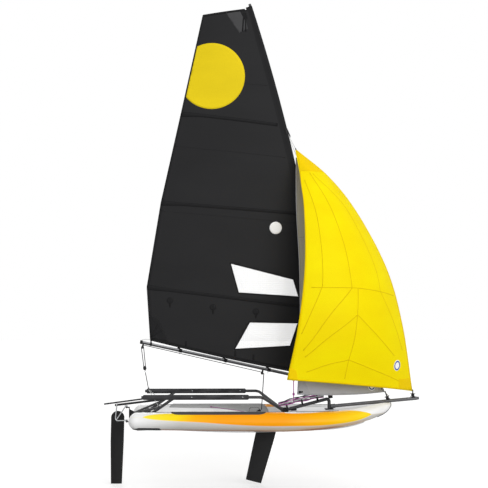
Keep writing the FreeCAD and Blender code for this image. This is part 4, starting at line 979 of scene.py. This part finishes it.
def mainsail():
    """Battened mainsail: one sheet with two film windows, pockets, seams and tapes."""
    cloth = sailcloth("charcoal_cloth", 37, 37, 38)
    dark, tape = dark_doubling(), black_tape()
    sail = thicken(new_piece("mainsail_cloth", sail_sheet(), cloth), 0.0016)
    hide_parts("mainsail")
    rides(sail, "rig")
    for name, outline in WINDOWS.items():
        patch(f"{name}_window_film", outline, clear_film(), 0.0006)
        band(f"{name}_window_tape", outline + outline[:1], 0.018, tape, 0.0032)
    for number, (luff_z, leech_x, leech_z) in enumerate(MAIN_STATIONS[1:4], 1):
        luff = (float(mast_x(luff_z)) - 0.10, luff_z + 0.01)
        inner = (leech_x + 0.30, leech_z + (luff_z - leech_z) * 0.13)
        pocket = [luff, inner, (leech_x + 0.004, leech_z)]
        seam = [luff, (leech_x + 0.02, leech_z)]
        band(f"batten_pocket_{number}", pocket, POCKET_WIDTHS, dark, 0.0075)
        band(f"batten_seam_{number}", seam, 0.004, tape, 0.0092)
    leech = [(x + 0.011, z) for _, x, z in MAIN_STATIONS]
    band("leech_tape", leech, 0.024, tape, 0.0030)
    band("head_tape", [(-0.775, 5.742), (-0.190, 5.829)], 0.030, tape, 0.0040)
    tack, clew = (float(mast_x(0.7)), 0.7), (-1.507, 1.219)
    foot = [(tack[0] - 0.05, tack[1] + 0.012)]
    for u in np.linspace(0.05, 0.99, 12):
        drop = FOOT_ROUND * 4 * u * (1 - u)
        foot.append((tack[0] + (clew[0] - tack[0]) * u, tack[1] + 0.011 + (clew[1] - tack[1]) * u - drop))
    band("foot_tape", foot, 0.022, tape, 0.0030)
    for number, height in enumerate((2.832, 3.752, 4.764), 1):
        luff_x, luff_z, leech_x, leech_z = (float(value) for value in strip_ends(height))
        seam = [(luff_x - 0.1, luff_z), (leech_x + 0.02, leech_z)]
        band(f"panel_seam_{number}", seam, 0.012, cloth, 0.0026)


def sail_marks():
    """Round sail marks, head and clew doublings, reef points and straps."""
    yellow = sailcloth("yellow_mark", 222, 196, 24)
    pale = sailcloth("head_cloth", 66, 66, 67)
    dark, tape = dark_doubling(), black_tape()
    (_, lower_x, lower_z), (_, upper_x, upper_z) = MAIN_STATIONS[-2:]
    leech = ((lower_x + 0.020, lower_z), (upper_x + 0.020, upper_z))
    disc = (0.237, 2.763)
    round_patch("yellow_disc", (-0.656, 4.889), 0.0, 0.465, yellow, 0.0034, [leech])
    round_patch("white_disc", disc, 0.0, 0.086, white_mark(), 0.0034)
    round_patch("white_disc_rim", disc, 0.086, 0.093, dark, 0.0038)
    patch("head_patch", [(-0.460, 5.780), (-0.200, 5.815), (-0.150, 5.560), (-0.270, 5.500)], pale, 0.0034)
    patch("head_plate", [(-0.260, 5.810), (-0.186, 5.822), (-0.150, 5.700), (-0.200, 5.690)], dark, 0.0060)
    for number, (x, foot_x) in enumerate(((-0.205, -0.225), (-0.182, -0.180))):
        band(f"head_strap_{number}", [(x, 5.78), (foot_x, 5.52)], 0.020, tape, 0.0065)
    patch("clew_doubling", [(-1.500, 1.235), (-1.530, 1.560), (-1.38, 1.48), (-1.25, 1.18)], dark, 0.0030)
    patch("clew_patch", [(-1.500, 1.232), (-1.515, 1.390), (-1.43, 1.35), (-1.380, 1.205)], dark, 0.0048)
    for number, tip in enumerate(((-1.395, 1.42), (-1.350, 1.34))):
        band(f"clew_strap_{number}", [(-1.493, 1.248), tip], 0.022, tape, 0.0064)
    for number, (x, z) in enumerate(((-1.232, 1.755), (-0.636, 1.660), (-0.042, 1.600))):
        tail = [(x - 0.02, z - 0.01), (x + 0.02, z - 0.01), (x + 0.01, z - 0.085), (x - 0.01, z - 0.085)]
        tie = [(x, z + 0.03), (x + 0.004, z - 0.04), (x, z - 0.10)]
        round_patch(f"reef_patch_{number}", (x, z), 0.0, 0.045, dark, 0.0042)
        patch(f"reef_tail_{number}", tail, dark, 0.0040)
        band(f"reef_tie_{number}", tie, 0.007, tape, 0.0080)
    for number, (x, z) in enumerate(((-1.010, 1.118), (-0.327, 0.985), (-0.076, 0.930))):
        mark = [(x - 0.014, z), (x + 0.014, z), (x + 0.012, z + 0.075), (x - 0.012, z + 0.075)]
        patch(f"foot_mark_{number}", mark, tape, 0.0042)


def luff_sleeve():
    """Sleeve of doubled cloth round the mast that fairs into the sail behind it."""
    cloth = sailcloth("charcoal_sleeve", 34, 34, 35)
    heights = np.linspace(SLEEVE_FOOT, SLEEVE_TOP, 110)
    lean = np.array([tuple(mast_tangent(height)) for height in heights])

    def place(u, v):
        z = SLEEVE_FOOT + (SLEEVE_TOP - SLEEVE_FOOT) * u
        radius = np.where(z < MAST_JOINT, LOWER_RADIUS, UPPER_RADIUS) + 0.0042
        reach = 0.125 - 0.06 * np.clip((z - 5.2) / 0.7, 0, 1)      # behind the mast, less near the head
        centre, turn = mast_x(z), v * 2 * math.pi
        front = np.cos(turn)
        aft = np.where(front > 0, front * radius, front * reach)
        taper = np.clip(1 + np.where(front < 0, front, 0), 0, 1)
        across = np.sin(turn) * np.where(front < 0, radius * (0.55 * taper + 0.45 * taper**2), radius)
        x = centre + aft * np.interp(z, heights, lean[:, 2])
        level = z - aft * np.interp(z, heights, lean[:, 0])
        sail = on_sail(np.minimum(x, centre), level)[:, 1]
        points = np.stack([x, across + sail * np.clip(-aft / reach, 0, 1), level], axis=1)
        return points, np.stack([v * 0.3, z], axis=1)

    work = bmesh.new()
    grid_mesh(work, len(heights) - 1, 28, place)
    merge(work)
    face_out(work, work.verts)
    sleeve = new_piece("luff_sleeve_cloth", work, cloth, sharp=60)
    sleeve.modifiers.new("cloth", "SOLIDIFY").thickness = 0.0012
    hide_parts("luff_sleeve")
    rides(sleeve, "rig")


# ---- Headsails --------------------------------------------------------------------------------
CLOTH_SIZE = (1.9, 3.7)       # metres of texture along a headsail's foot and luff
BADGE_RADIUS = 0.074


def headsail_points(stations, u, v):
    """Points of a set headsail, u from luff to leech and v from foot to head."""
    rows = np.array([(*luff, *leech, camber) for luff, leech, camber in stations])
    at = through(rows, v)
    luff, leech, camber = at[:, 0:3], at[:, 3:6], at[:, 6]
    chord = leech - luff
    belly = np.stack([chord[:, 1], -chord[:, 0], np.zeros(len(at))], axis=1)
    belly /= np.linalg.norm(belly, axis=1)[:, None] + 1e-9
    belly *= np.where(belly[:, 1] > 0, -1.0, 1.0)[:, None]
    depth = np.linalg.norm(chord, axis=1) * camber * 4 * u * (1 - u)
    points = luff + chord * u[:, None] + belly * depth[:, None]
    points[:, 2] -= FOOT_DROP[stations] * 4 * u * (1 - u) * np.clip(1 - v / 0.12, 0, 1)
    return points


def headsail(name, stations, made, columns, rows):
    """Headsail as one sheet with its texture in metres."""
    def place(u, v):
        return headsail_points(stations, u, v), np.stack([u, v], axis=1) * CLOTH_SIZE

    return cloth_piece(name, columns, rows, place, made, 0.0014)


def sail_band(name, stations, line, width, made, thickness):
    """Seam or tape along a line given by u and v on a headsail."""
    knots = smooth_path(line, 10) if len(line) > 2 else np.linspace(*line, 14)
    points = headsail_points(stations, *knots.T)
    du, dv = (headsail_points(stations, *np.clip(knots + nudge, 0, 1).T)
              - headsail_points(stations, *np.clip(knots - nudge, 0, 1).T)
              for nudge in ((1e-3, 0), (0, 1e-3)))
    across = np.cross(np.cross(du, dv), np.gradient(points, axis=0))
    across /= np.linalg.norm(across, axis=1)[:, None]
    travelled = run_lengths(points)

    def place(u, v):
        index, off = row_of(u, points), (v - 0.5) * width
        return points[index] + across[index] * off[:, None], np.stack([travelled[index], off], axis=1)

    return cloth_piece(name, len(points) - 1, 2, place, made, thickness)


def sail_disc(name, stations, centre, radius, made, thickness, inner=0.0):
    """Round patch or ring on a headsail, its size in metres."""
    step = 1e-3
    u0, v0 = (np.array([value]) for value in centre)
    middle = headsail_points(stations, u0, v0)[0]
    du = (headsail_points(stations, u0 + step, v0)[0] - middle) / step
    dv = (headsail_points(stations, u0, v0 + step)[0] - middle) / step
    du_length = np.linalg.norm(du)
    slip = (dv @ du) / du_length**2
    dv_across = np.linalg.norm(dv - du * slip)

    def place(u, v):
        reach, angle = inner + (radius - inner) * u, v * 2 * math.pi
        east, north = reach * np.cos(angle), reach * np.sin(angle)
        up = north / dv_across
        points = headsail_points(stations, u0 + east / du_length - slip * up, v0 + up)
        return points, np.stack([east, north], axis=1)

    work = bmesh.new()
    grid_mesh(work, 4, 48, place)
    merge(work)
    return rides(thicken(new_piece(name, work, made), thickness), "hull")


def sail_patch(name, stations, corners, made, thickness):
    """Doubling between four corners given by u and v on a headsail."""
    a, b, c, d = (np.array(corner) for corner in corners)

    def place(u, v):
        u, v = u[:, None], v[:, None]
        spots = (a * (1 - u) + b * u) * (1 - v) + (d * (1 - u) + c * u) * v
        return headsail_points(stations, *spots.T), spots * CLOTH_SIZE

    return cloth_piece(name, 16, 16, place, made, thickness)


def badge(name, stations, centre):
    """Plain white disc with a narrow blue ring."""
    blue = sailcloth("blue_rim", 66, 92, 158)
    outer, inner = BADGE_RADIUS * 0.88, BADGE_RADIUS * 0.62
    return [sail_disc(f"{name}_disc", stations, centre, BADGE_RADIUS, white_mark(), 0.0040),
            sail_disc(f"{name}_rim", stations, centre, outer, blue, 0.0046, inner)]


def jib():
    """Jib on its own stay, set to starboard: cloth, seams, tack and clew doublings."""
    cloth, seam = sailcloth("grey_cloth", 180, 181, 188, 0.15), sailcloth("grey_seam", 162, 163, 169)
    tape = black_tape()
    sail = headsail("jib_cloth", JIB_STATIONS, cloth, 30, 90)
    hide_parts("jib")
    goes_with = badge("jib", JIB_STATIONS, (0.152, 0.036))
    for name, line, width, made in (
            ("luff_tape", [(0.012, 0.004), (0.02, 0.25), (0.03, 0.5), (0.05, 0.75), (0.2, 0.985)],
             0.026, seam),
            ("leech_tape", [(0.99, 0.004), (0.985, 0.25), (0.98, 0.5), (0.96, 0.75), (0.8, 0.985)],
             0.014, seam),
            ("foot_tape", [(0.01, 0.005), (0.5, 0.004), (0.99, 0.005)], 0.016, seam),
            ("seam_1", [(0.02, 0.20), (0.98, 0.18)], 0.012, seam),
            ("seam_2", [(0.02, 0.42), (0.98, 0.40)], 0.012, seam),
            ("seam_3", [(0.02, 0.64), (0.98, 0.62)], 0.012, seam),
            ("clew_strap", [(0.945, 0.014), (0.998, 0.008)], 0.020, tape),
            ("tack_strap", [(0.002, 0.008), (0.030, 0.018)], 0.026, tape)):
        goes_with.append(sail_band(f"jib_{name}", JIB_STATIONS, line, width, made, 0.0034))
    for name, corners in (("clew", ((0.86, 0.004), (0.995, 0.004), (0.99, 0.075), (0.92, 0.050))),
                          ("tack", ((0.006, 0.005), (0.085, 0.005), (0.060, 0.045), (0.012, 0.070)))):
        goes_with.append(sail_patch(f"jib_{name}_patch", JIB_STATIONS, corners, seam, 0.0028))
    goes_with.append(sail_disc("jib_eyelet", JIB_STATIONS, (0.975, 0.012), 0.017, tape, 0.0060, 0.006))


GENNAKER_SEAMS = (            # lines given by u and v
    [(0.91, 0.771), (0.848, 0.606), (0.844, 0.472), (0.848, 0.337)],
    [(0.848, 0.337), (0.920, 0.247), (0.968, 0.172)],
    [(0.691, 0.820), (0.605, 0.647), (0.581, 0.496), (0.585, 0.395), (0.580, 0.331)],
    [(0.580, 0.331), (0.780, 0.236), (0.938, 0.112)],
    [(0.598, 0.814), (0.307, 0.651), (0.250, 0.505), (0.235, 0.398), (0.251, 0.320)],
    [(0.251, 0.320), (0.145, 0.224), (0.069, 0.124)],
    [(0.936, 0.331), (0.580, 0.331), (0.432, 0.327), (0.253, 0.319), (0.041, 0.305)],
    [(0.520, 0.327), (0.540, 0.242), (0.571, 0.158), (0.609, 0.084), (0.628, 0.020)],
    [(0.540, 0.239), (0.769, 0.163), (0.919, 0.088)], [(0.540, 0.239), (0.385, 0.181), (0.181, 0.107)],
    [(0.609, 0.086), (0.756, 0.066), (0.890, 0.034)], [(0.609, 0.086), (0.405, 0.058), (0.146, 0.027)],
)


def gennaker():
    """Yellow gennaker: radial panels from its head, its tack and its clew."""
    cloth, seam = sailcloth("yellow_cloth", 255, 226, 0, 0.10), sailcloth("yellow_seam", 226, 194, 0, 0.10)
    double = sailcloth("yellow_doubling", 244, 206, 0, 0.05)
    sail = headsail("gennaker_cloth", GENNAKER_STATIONS, cloth, 44, 110)
    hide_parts("gennaker")
    goes_with = badge("gennaker", GENNAKER_STATIONS, (0.155, 0.076))
    for name, line, width in (
            ("luff_tape", [(0.008, 0.004), (0.012, 0.3), (0.015, 0.6), (0.03, 0.8), (0.2, 0.985)], 0.022),
            ("leech_tape", [(0.994, 0.004), (0.992, 0.3), (0.988, 0.6), (0.98, 0.8), (0.8, 0.985)], 0.014),
            ("foot_tape", [(0.01, 0.004), (0.5, 0.004), (0.99, 0.004)], 0.018)):
        goes_with.append(sail_band(f"gennaker_{name}", GENNAKER_STATIONS, line, width, double, 0.0030))
    for number, line in enumerate(GENNAKER_SEAMS, 1):
        goes_with.append(sail_band(f"gennaker_seam_{number}", GENNAKER_STATIONS, line, 0.009, seam, 0.0024))
    for name, corners in (("head", ((0.02, 0.828), (0.98, 0.832), (0.90, 0.995), (0.10, 0.995))),
                          ("tack", ((0.003, 0.005), (0.158, 0.004), (0.149, 0.034), (0.003, 0.040))),
                          ("clew", ((0.935, 0.004), (0.997, 0.004), (0.996, 0.050), (0.955, 0.036)))):
        goes_with.append(sail_patch(f"gennaker_{name}_patch", GENNAKER_STATIONS, corners, double, 0.0028))


# ---- Running rigging --------------------------------------------------------------------------
def stretched(name, top, foot, diameter, made):
    """Taut line, straight from its top to its foot."""
    path = [Vector(top).lerp(Vector(foot), share / 24) for share in range(25)]
    piece = new_piece(name, lambda work: tube(work, path, diameter / 2), made, sharp=80)
    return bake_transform(piece)


def knot(name, at, along, size, made):
    """Small tied knot: a few turns round a line."""
    place, reach = aimed(at, along), size * 0.42
    turns = [place @ Vector((reach * math.cos(t * 1.3), reach * math.sin(t * 1.3), size * (t / 7 - 1)))
             for t in range(15)]
    piece = new_piece(name, lambda work: tube(work, smooth_path(turns, 3), size * 0.26, 8), made, sharp=80)
    return rides(piece, "hull")


def mainsheet():
    """Sheet from the boom's forward block down to the base, and the aft tackle down to its bridle."""
    dark, white, _ = ropes()
    steel = bright_steel()
    stretched("mainsheet_fall", (0.073, 0, 0.742), (0.040, 0, 0.236), 0.013, dark)
    low_block = Vector((-1.580, 0, 0.816))
    for name, top, foot in (("fore", -1.596, 0.012), ("aft", -1.628, -0.012)):
        stretched(f"tackle_{name}_part", (top, 0, 1.104), low_block + Vector((foot, 0, 0.004)), 0.011, dark)
    rides(new_piece("tackle_block", lambda work: pulley(work, low_block, (0.16, 0, -1), (0, 1, 0), 0.052),
                    black_fitting(), steel), "hull")
    turned_piece("tackle_ring", ring_profile(0.008, 0.014, 0.006), (-1.571, 0, 0.766), (0, 1, 0), steel)
    apex = Vector((-1.526, 0, 0.520))
    rope("tackle_strop", [(-1.571, 0, 0.756), apex], 0.011, dark)
    for name, side in SIDES:
        leg = bpy.data.objects[f"rack_leg_{name}"]
        _, seat, _, _ = leg.closest_point_on_mesh(Vector((-1.40, side * 0.60, 0.375)))
        rope(f"bridle_{name}", [apex, seat], 0.007, white)
        knot(f"bridle_knot_{name}", seat, (0.1, side * -0.80, 0.2), 0.022, dark)
    knot("bridle_eye", apex + Vector((0, 0, 0.010)), (0.1, 0, 1), 0.016, dark)


def boom_line():
    """Start of the boom's centre line at the mast, and its direction aft."""
    start = Vector((float(mast_x(BOOM_START)), 0, BOOM_START))
    return start, (BOOM_END - start).normalized()


def boom_strap(name, seat, width):
    """Webbing hoop round the boom, its middle at a place on the centre line."""
    profile = ring_profile(BOOM_RADIUS + 0.0004, BOOM_RADIUS + 0.0040, width)
    return turned_piece(name, profile, seat, boom_line()[1], black_tape(), body="rig")


def boom_lines():
    """Outhaul from the boom's end to the clew, and the strap that holds the clew down."""
    outhaul = [(-1.622, 0, 1.208), (-1.575, -0.004, 1.214), (-1.505, -0.006, 1.212)]
    rope("outhaul", outhaul, 0.008, ropes()[1], "rig")
    seat = BOOM_END - boom_line()[1] * 0.142
    boom_strap("clew_strap_hoop", seat, 0.026)
    lashing = [seat + Vector((0, 0, 0.026)), seat + Vector((0.002, -0.003, 0.058))]
    rope("clew_lashing", lashing, 0.019, black_tape(), "rig")


def foot_straps():
    """Webbing straps that hold the sail's foot to the boom, and the sheet led under it."""
    start, along = boom_line()
    half, low, high = 0.021, 0.020, 0.062          # a tab's half width, its foot and its top over the axis
    place = Matrix.Translation((0, 0.003, 0)) @ STANDING
    for number, x in enumerate((-1.108, -0.482, 0.122), 1):
        seat = start + along * ((x - start.x) / along.x)
        boom_strap(f"foot_strap_{number}", seat - along * 0.023, 0.046)
        outline = [(seat.x + end, seat.z + along.z / along.x * end + rise)
                   for end, rise in ((half, low), (half, high), (-half, high), (-half, low))]
        rides(new_piece(f"foot_strap_tab_{number}", lambda work: slab(work, outline, 0.006, place, 0.001),
                        black_tape()), "rig")
    led = rope("boom_sheet_led", [(-1.612, 0, 1.138), (0.050, 0, 0.756)], 0.010, ropes()[0], "rig")
    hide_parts("boom_sheet")


def headsail_lines():
    """Halyards, tack lashings, bow line and the gennaker's sheet."""
    dark, white, purple = ropes()
    beside = LUG_HOLE + Vector((0.004, -0.006, 0.010))
    stretched("jib_halyard", LUG_HOLE, (0.541, -0.013, 3.752), 0.006, white)
    stretched("gennaker_halyard", beside, (0.527, -0.024, 3.858), 0.007, white)
    knot("gennaker_head_knot", (0.521, -0.023, 3.868), (0.5, 0, -0.86), 0.014, dark)
    rope("jib_tack_lashing", [(1.752, 0, 0.486), (1.818, 0, 0.418)], 0.012, white)
    rope("gennaker_tack_lashing", [(2.144, 0, 0.500), (2.152, 0, 0.452)], 0.012, white)
    bow = bpy.data.objects["side_tube_starboard"]
    path = [Vector((1.838, -0.012, 0.352))]
    for x, z in ((1.822, 0.290), (1.775, 0.232), (1.700, 0.192), (1.610, 0.163)):
        _, where, _, _ = bow.ray_cast(Vector((x, -1.0, z)), Vector((0, 1, 0)))
        path.append(Vector((x, min(where.y - 0.004, -0.012), z)))
    rope("bow_line", path, 0.008, dark)
    clew, foot = Vector((0.428, -0.868, 0.694)), Vector((0.484, -0.050, 0.345))
    rope("gennaker_sheet", [clew, foot], 0.013, purple)
    knot("gennaker_sheet_knot", clew.lerp(foot, 0.62), foot - clew, 0.024, purple)
    knot("gennaker_clew_knot", clew, foot - clew, 0.016, purple)


def strut_bundle():
    """Control lines led along the mast strut and lashed to it."""
    dark, white, purple = ropes()
    start, end = Vector((0.275, 0, 0.288)), Vector((0.905, 0, 0.412))
    lines = (                 # height over the strut's axis, distance to port, rope
        (0.004, -0.030, purple), (0.028, -0.024, white), (0.046, 0.002, dark), (0.040, 0.024, white),
        (0.008, 0.034, purple), (0.058, -0.012, dark), (0.016, -0.038, dark), (0.066, 0.014, white),
        (0.052, -0.026, purple), (0.072, -0.004, dark), (0.034, -0.036, white),
    )
    for number, (rise, side, made) in enumerate(lines, 1):
        path = []
        for step in range(9):
            share = step / 8
            sway = math.sin(step * 1.7 + number * 2.3) * 0.008
            clear = math.copysign(0.034, side) * max(1 - share * 1.6, 0)  # room for the raised daggerboard
            height = rise * (0.6 + 0.4 * math.sin(share * math.pi)) + 0.006 * math.sin(step * 2.1 + number)
            path.append(start.lerp(end, share) + Vector((0, side + sway + clear, height)))
        rope(f"control_line_{number}", path, 0.011, made)
    lashing = ring_profile(0.036, 0.050, 0.022, 0.003)
    for number, share in enumerate((0.18, 0.52, 0.86), 1):
        seat = start.lerp(end, share) + Vector((0, 0, -0.002))
        turned_piece(f"control_lashing_{number}", lashing, seat, end - start, black_tape())


# ---- Hull fittings and soft covers ------------------------------------------------------------
PAD_EDGES = (                 # x, angle of the outboard edge and of the inboard edge round the tube
    (-1.250, 126, 133), (-1.215, 100, 134), (-1.190, 70, 135), (-1.150, 58, 135), (-1.100, 55, 136),
    (-1.000, 55, 137), (-0.580, 54, 141), (-0.290, 54, 155), (-0.020, 54, 167), (0.040, 62, 168),
    (0.090, 92, 168), (0.130, 126, 168), (0.165, 156, 168),
)
PAD_THICKNESS = 0.0095


def on_tube(x, side, reach, angle):
    """Points round a tube's straight stretch, and their texture in metres."""
    y, z = side * (TUBE_AXIS.y + reach * np.cos(angle)), TUBE_AXIS.z + reach * np.sin(angle)
    return np.stack([x, y, z], axis=1), np.stack([x, reach * angle], axis=1)


def deck_pads():
    """Foam pads laid over the tubes: pointed aft, full in the middle, thin at their edges."""
    places, outboard, inboard = np.array(PAD_EDGES).T
    for name, side in SIDES:
        def place(u, v):
            x = places[0] + (places[-1] - places[0]) * u
            low, high = (np.radians(np.interp(x, places, edge)) for edge in (outboard, inboard))
            share = np.where(v < 0.5, 2 * v, 2 - 2 * v)
            ends = np.clip(np.minimum(x - places[0], places[-1] - x) / 0.03, 0, 1)
            full = 0.0012 + PAD_THICKNESS * (1 - np.abs(2 * share - 1) ** 10) * np.sqrt(ends)
            reach = TUBE_RADIUS + np.where(v < 0.5, full, 0.0006)  # the top, then back along the underside
            return on_tube(x, side, reach, low + (high - low) * share)

        work = bmesh.new()
        grid_mesh(work, 96, 48, place)
        merge(work)
        bmesh.ops.holes_fill(work, edges=[edge for edge in work.edges if edge.is_boundary], sides=0)
        face_out(work, work.verts)
        pad = new_piece(f"pad_foam_{name}", work, deck_foam(), sharp=50)
        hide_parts(f"deck_pad_{name}")
        rides(pad, "hull")


RAIL_SIDE = 0.620             # from the middle of the boat to a rack rail
SLEEVE_ENDS = (-1.576, -0.160)
SLEEVE_BORE = 0.0204
SLEEVE_RADIUS = 0.0345


def rack_sleeves():
    """Thick foam sleeves on the rails that the crew sits on, with rivets on both sides."""
    length = SLEEVE_ENDS[1] - SLEEVE_ENDS[0]
    profile = ((SLEEVE_BORE, 0), (SLEEVE_RADIUS - 0.006, 0), (SLEEVE_RADIUS, 0.007),
               (SLEEVE_RADIUS, length - 0.012), (SLEEVE_RADIUS - 0.005, length), (SLEEVE_BORE, length),
               (SLEEVE_BORE, 0))
    rivet = barrel(0.006, 0.003)
    for name, side in SIDES:
        seat = (SLEEVE_ENDS[0], side * RAIL_SIDE, 0.456)
        sleeve = turned_piece(f"rack_sleeve_{name}", profile, seat, (1, 0, 0), foam_grip(),
                              steps=36, sharp=60)
        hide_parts(f"grip_sleeve_{name}")
        for number, x in enumerate((-0.924, -0.240), 1):
            for face in (-1.0, 1.0):
                seat = (x, side * RAIL_SIDE + face * SLEEVE_RADIUS, 0.460)
                where = "in" if face * side < 0 else "out"
                turned_piece(f"rivet_{name}_{number}_{where}", rivet, seat, (0, face, 0), bright_steel(),
                             steps=16)


UNDERSIDE = (                 # x, how far a tube's underside is lifted, height of the underside
    (-1.800, 0.041, -0.010), (-0.900, 0.028, -0.010), (0.300, 0.010, -0.010), (0.700, 0.020, -0.010),
    (0.950, 0.042, -0.010), (1.150, 0.052, 0.005), (1.450, 0.050, 0.060), (1.600, 0.034, 0.110),
    (1.800, 0.0, 0.200),
)
LIFT_FADE = 0.21              # height over which the lift fades out
STERN_TIP = -1.60             # aft of this place the tubes' round ends are a little shorter
STRIP_ENDS = (-1.722, -1.330)


def lift(x, z):
    """Height of a tube's skin once its underside rises towards the stern and the bow."""
    places, rises, lowest = np.array(UNDERSIDE).T
    rise, low = np.interp(x, places, rises), np.interp(x, places, lowest)
    return z + rise * np.clip((low + LIFT_FADE - z) / LIFT_FADE, 0, 1)


def tube_skins():
    """Coated skins of the tubes, whose undersides rise aft and forward."""
    for name, side in SIDES:
        work = bmesh.new()
        work.from_mesh(bpy.data.objects[f"side_tube_{name}"].data)
        merge(work)
        for vert in work.verts:
            vert.co.z = float(lift(vert.co.x, vert.co.z))
            vert.co.x += 0.13 * max(STERN_TIP - vert.co.x, 0.0)
        skin = new_piece(f"tube_skin_{name}", work, coated_fabric(), sharp=50)
        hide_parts(f"side_tube_{name}")
        rides(skin, "hull")


def wear_strips():
    """Rubber strips low on the tubes' outboard sides, narrower towards both ends."""
    rubber = moulded("skid_rubber", 40, 40, 41, 0.62, 180.0)
    aft, fore = STRIP_ENDS
    for name, side in SIDES:
        def place(u, v):
            x = aft + (fore - aft) * u
            narrow = np.clip(np.minimum(x - aft, (fore - x) * 4) / 0.09, 0.05, 1)
            angle = np.radians(-66 + (v - 0.5) * 46 * narrow)
            rounding = np.clip(-1.660 - x, 0, 1)   # aft of here the tube's end is round
            girth = np.sqrt(np.clip(TUBE_RADIUS**2 - rounding**2, 0, 1)) + 0.0010
            points, texture = on_tube(x, side, girth, angle)
            points[:, 2] = lift(x, points[:, 2])
            return points, texture

        strip = new_piece(f"wear_strip_{name}", lambda work: grid_mesh(work, 40, 12, place), rubber,
                          sharp=50)
        thicken(strip, 0.0035)
        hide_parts(f"skid_strip_{name}")
        rides(strip, "hull")


def welts():
    """Rubber welts along the tubes' crests."""
    rubber = moulded("welt_rubber", 52, 50, 49, 0.60, 180.0)
    for name, side in SIDES:
        skin = bpy.data.objects[f"side_tube_{name}"]
        for part, aft, fore, inset, size in (("aft", -1.420, -1.215, 0.020, 0.004),
                                             ("middle", 0.070, 0.290, 0.012, 0.0035),
                                             ("fore", 0.480, 1.060, 0.000, 0.004)):
            path = []
            for x in np.linspace(aft, fore, 12):
                axis = TUBE_AXIS.y - TUBE_BEND * max(x - TUBE_BEND_X, 0.0) ** 2
                _, crest, _, _ = skin.ray_cast(Vector((x, side * (axis - inset), 1.0)), -UP)
                path.append(crest + UP * size * 0.4)
            welt = new_piece(f"welt_{part}_{name}", lambda work: tube(work, path, size, 8), rubber, sharp=70)
            rides(welt, "hull")


def deck_cleat():
    """Small cleat on the foredeck's edge."""
    outline = [(0.452, 0.226), (0.530, 0.232), (0.522, 0.262), (0.468, 0.250)]
    cleat = new_piece("deck_cleat", lambda work: slab(work, outline, 0.060, STANDING, 0.004), black_fitting())
    rides(cleat, "hull")


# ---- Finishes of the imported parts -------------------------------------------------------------
def dress():
    """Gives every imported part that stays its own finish."""
    looks = {
        coated_fabric(): ("hull_floor", "foredeck"),
        brushed("black_tube", 58, 58, 60, 0.45, "x", 0.25): (
            "rack_rail_port", "rack_rail_starboard", "rack_brace_port", "rack_brace_starboard", "mast_strut"),
        brushed("pole_tube", 92, 92, 94, 0.42, "x", 0.4): ("bowsprit",),
        brushed("black_upright", 52, 52, 54, 0.45, "z", 0.25): (
            "rack_leg_port", "rack_leg_starboard", "stern_strut_port", "stern_strut_starboard", "mast_post",
            "mast_lower", "mast_upper"),
        black_fitting(): (
            "front_node", "stern_bracket", "mast_step", "step_plate", "daggerboard_case", "jib_furler",
            "gennaker_furler", "mast_foot", "hounds", "gooseneck", "boom_end", "tiller_joint", "sheet_base",
            "block_aft", "block_forward"),
        packed_rope(150, 62, 132): ("side_line",),
        boom_tube(): ("boom",),
        brushed("silver_tube", 176, 178, 180, 0.36, "x"): ("rudder_stock",),
        brushed("tiller_tube", 40, 40, 41, 0.42, "x"): ("tiller", "tiller_extension"),
        moulded("blade_skin", 18, 18, 19, 0.50, 260.0): ("rudder_blade", "daggerboard"),
    }
    for made, names in looks.items():
        for name in names:
            for slot in bpy.data.objects[name].material_slots:
                slot.material = made


place_camera()
light_studio()
lay_floor()
dress()
mainsail()
sail_marks()
luff_sleeve()
jib()
gennaker()
mainsheet()
boom_lines()
headsail_lines()
strut_bundle()
deck_pads()
rack_sleeves()
welts()
deck_cleat()
tube_skins()
wear_strips()
foot_straps()
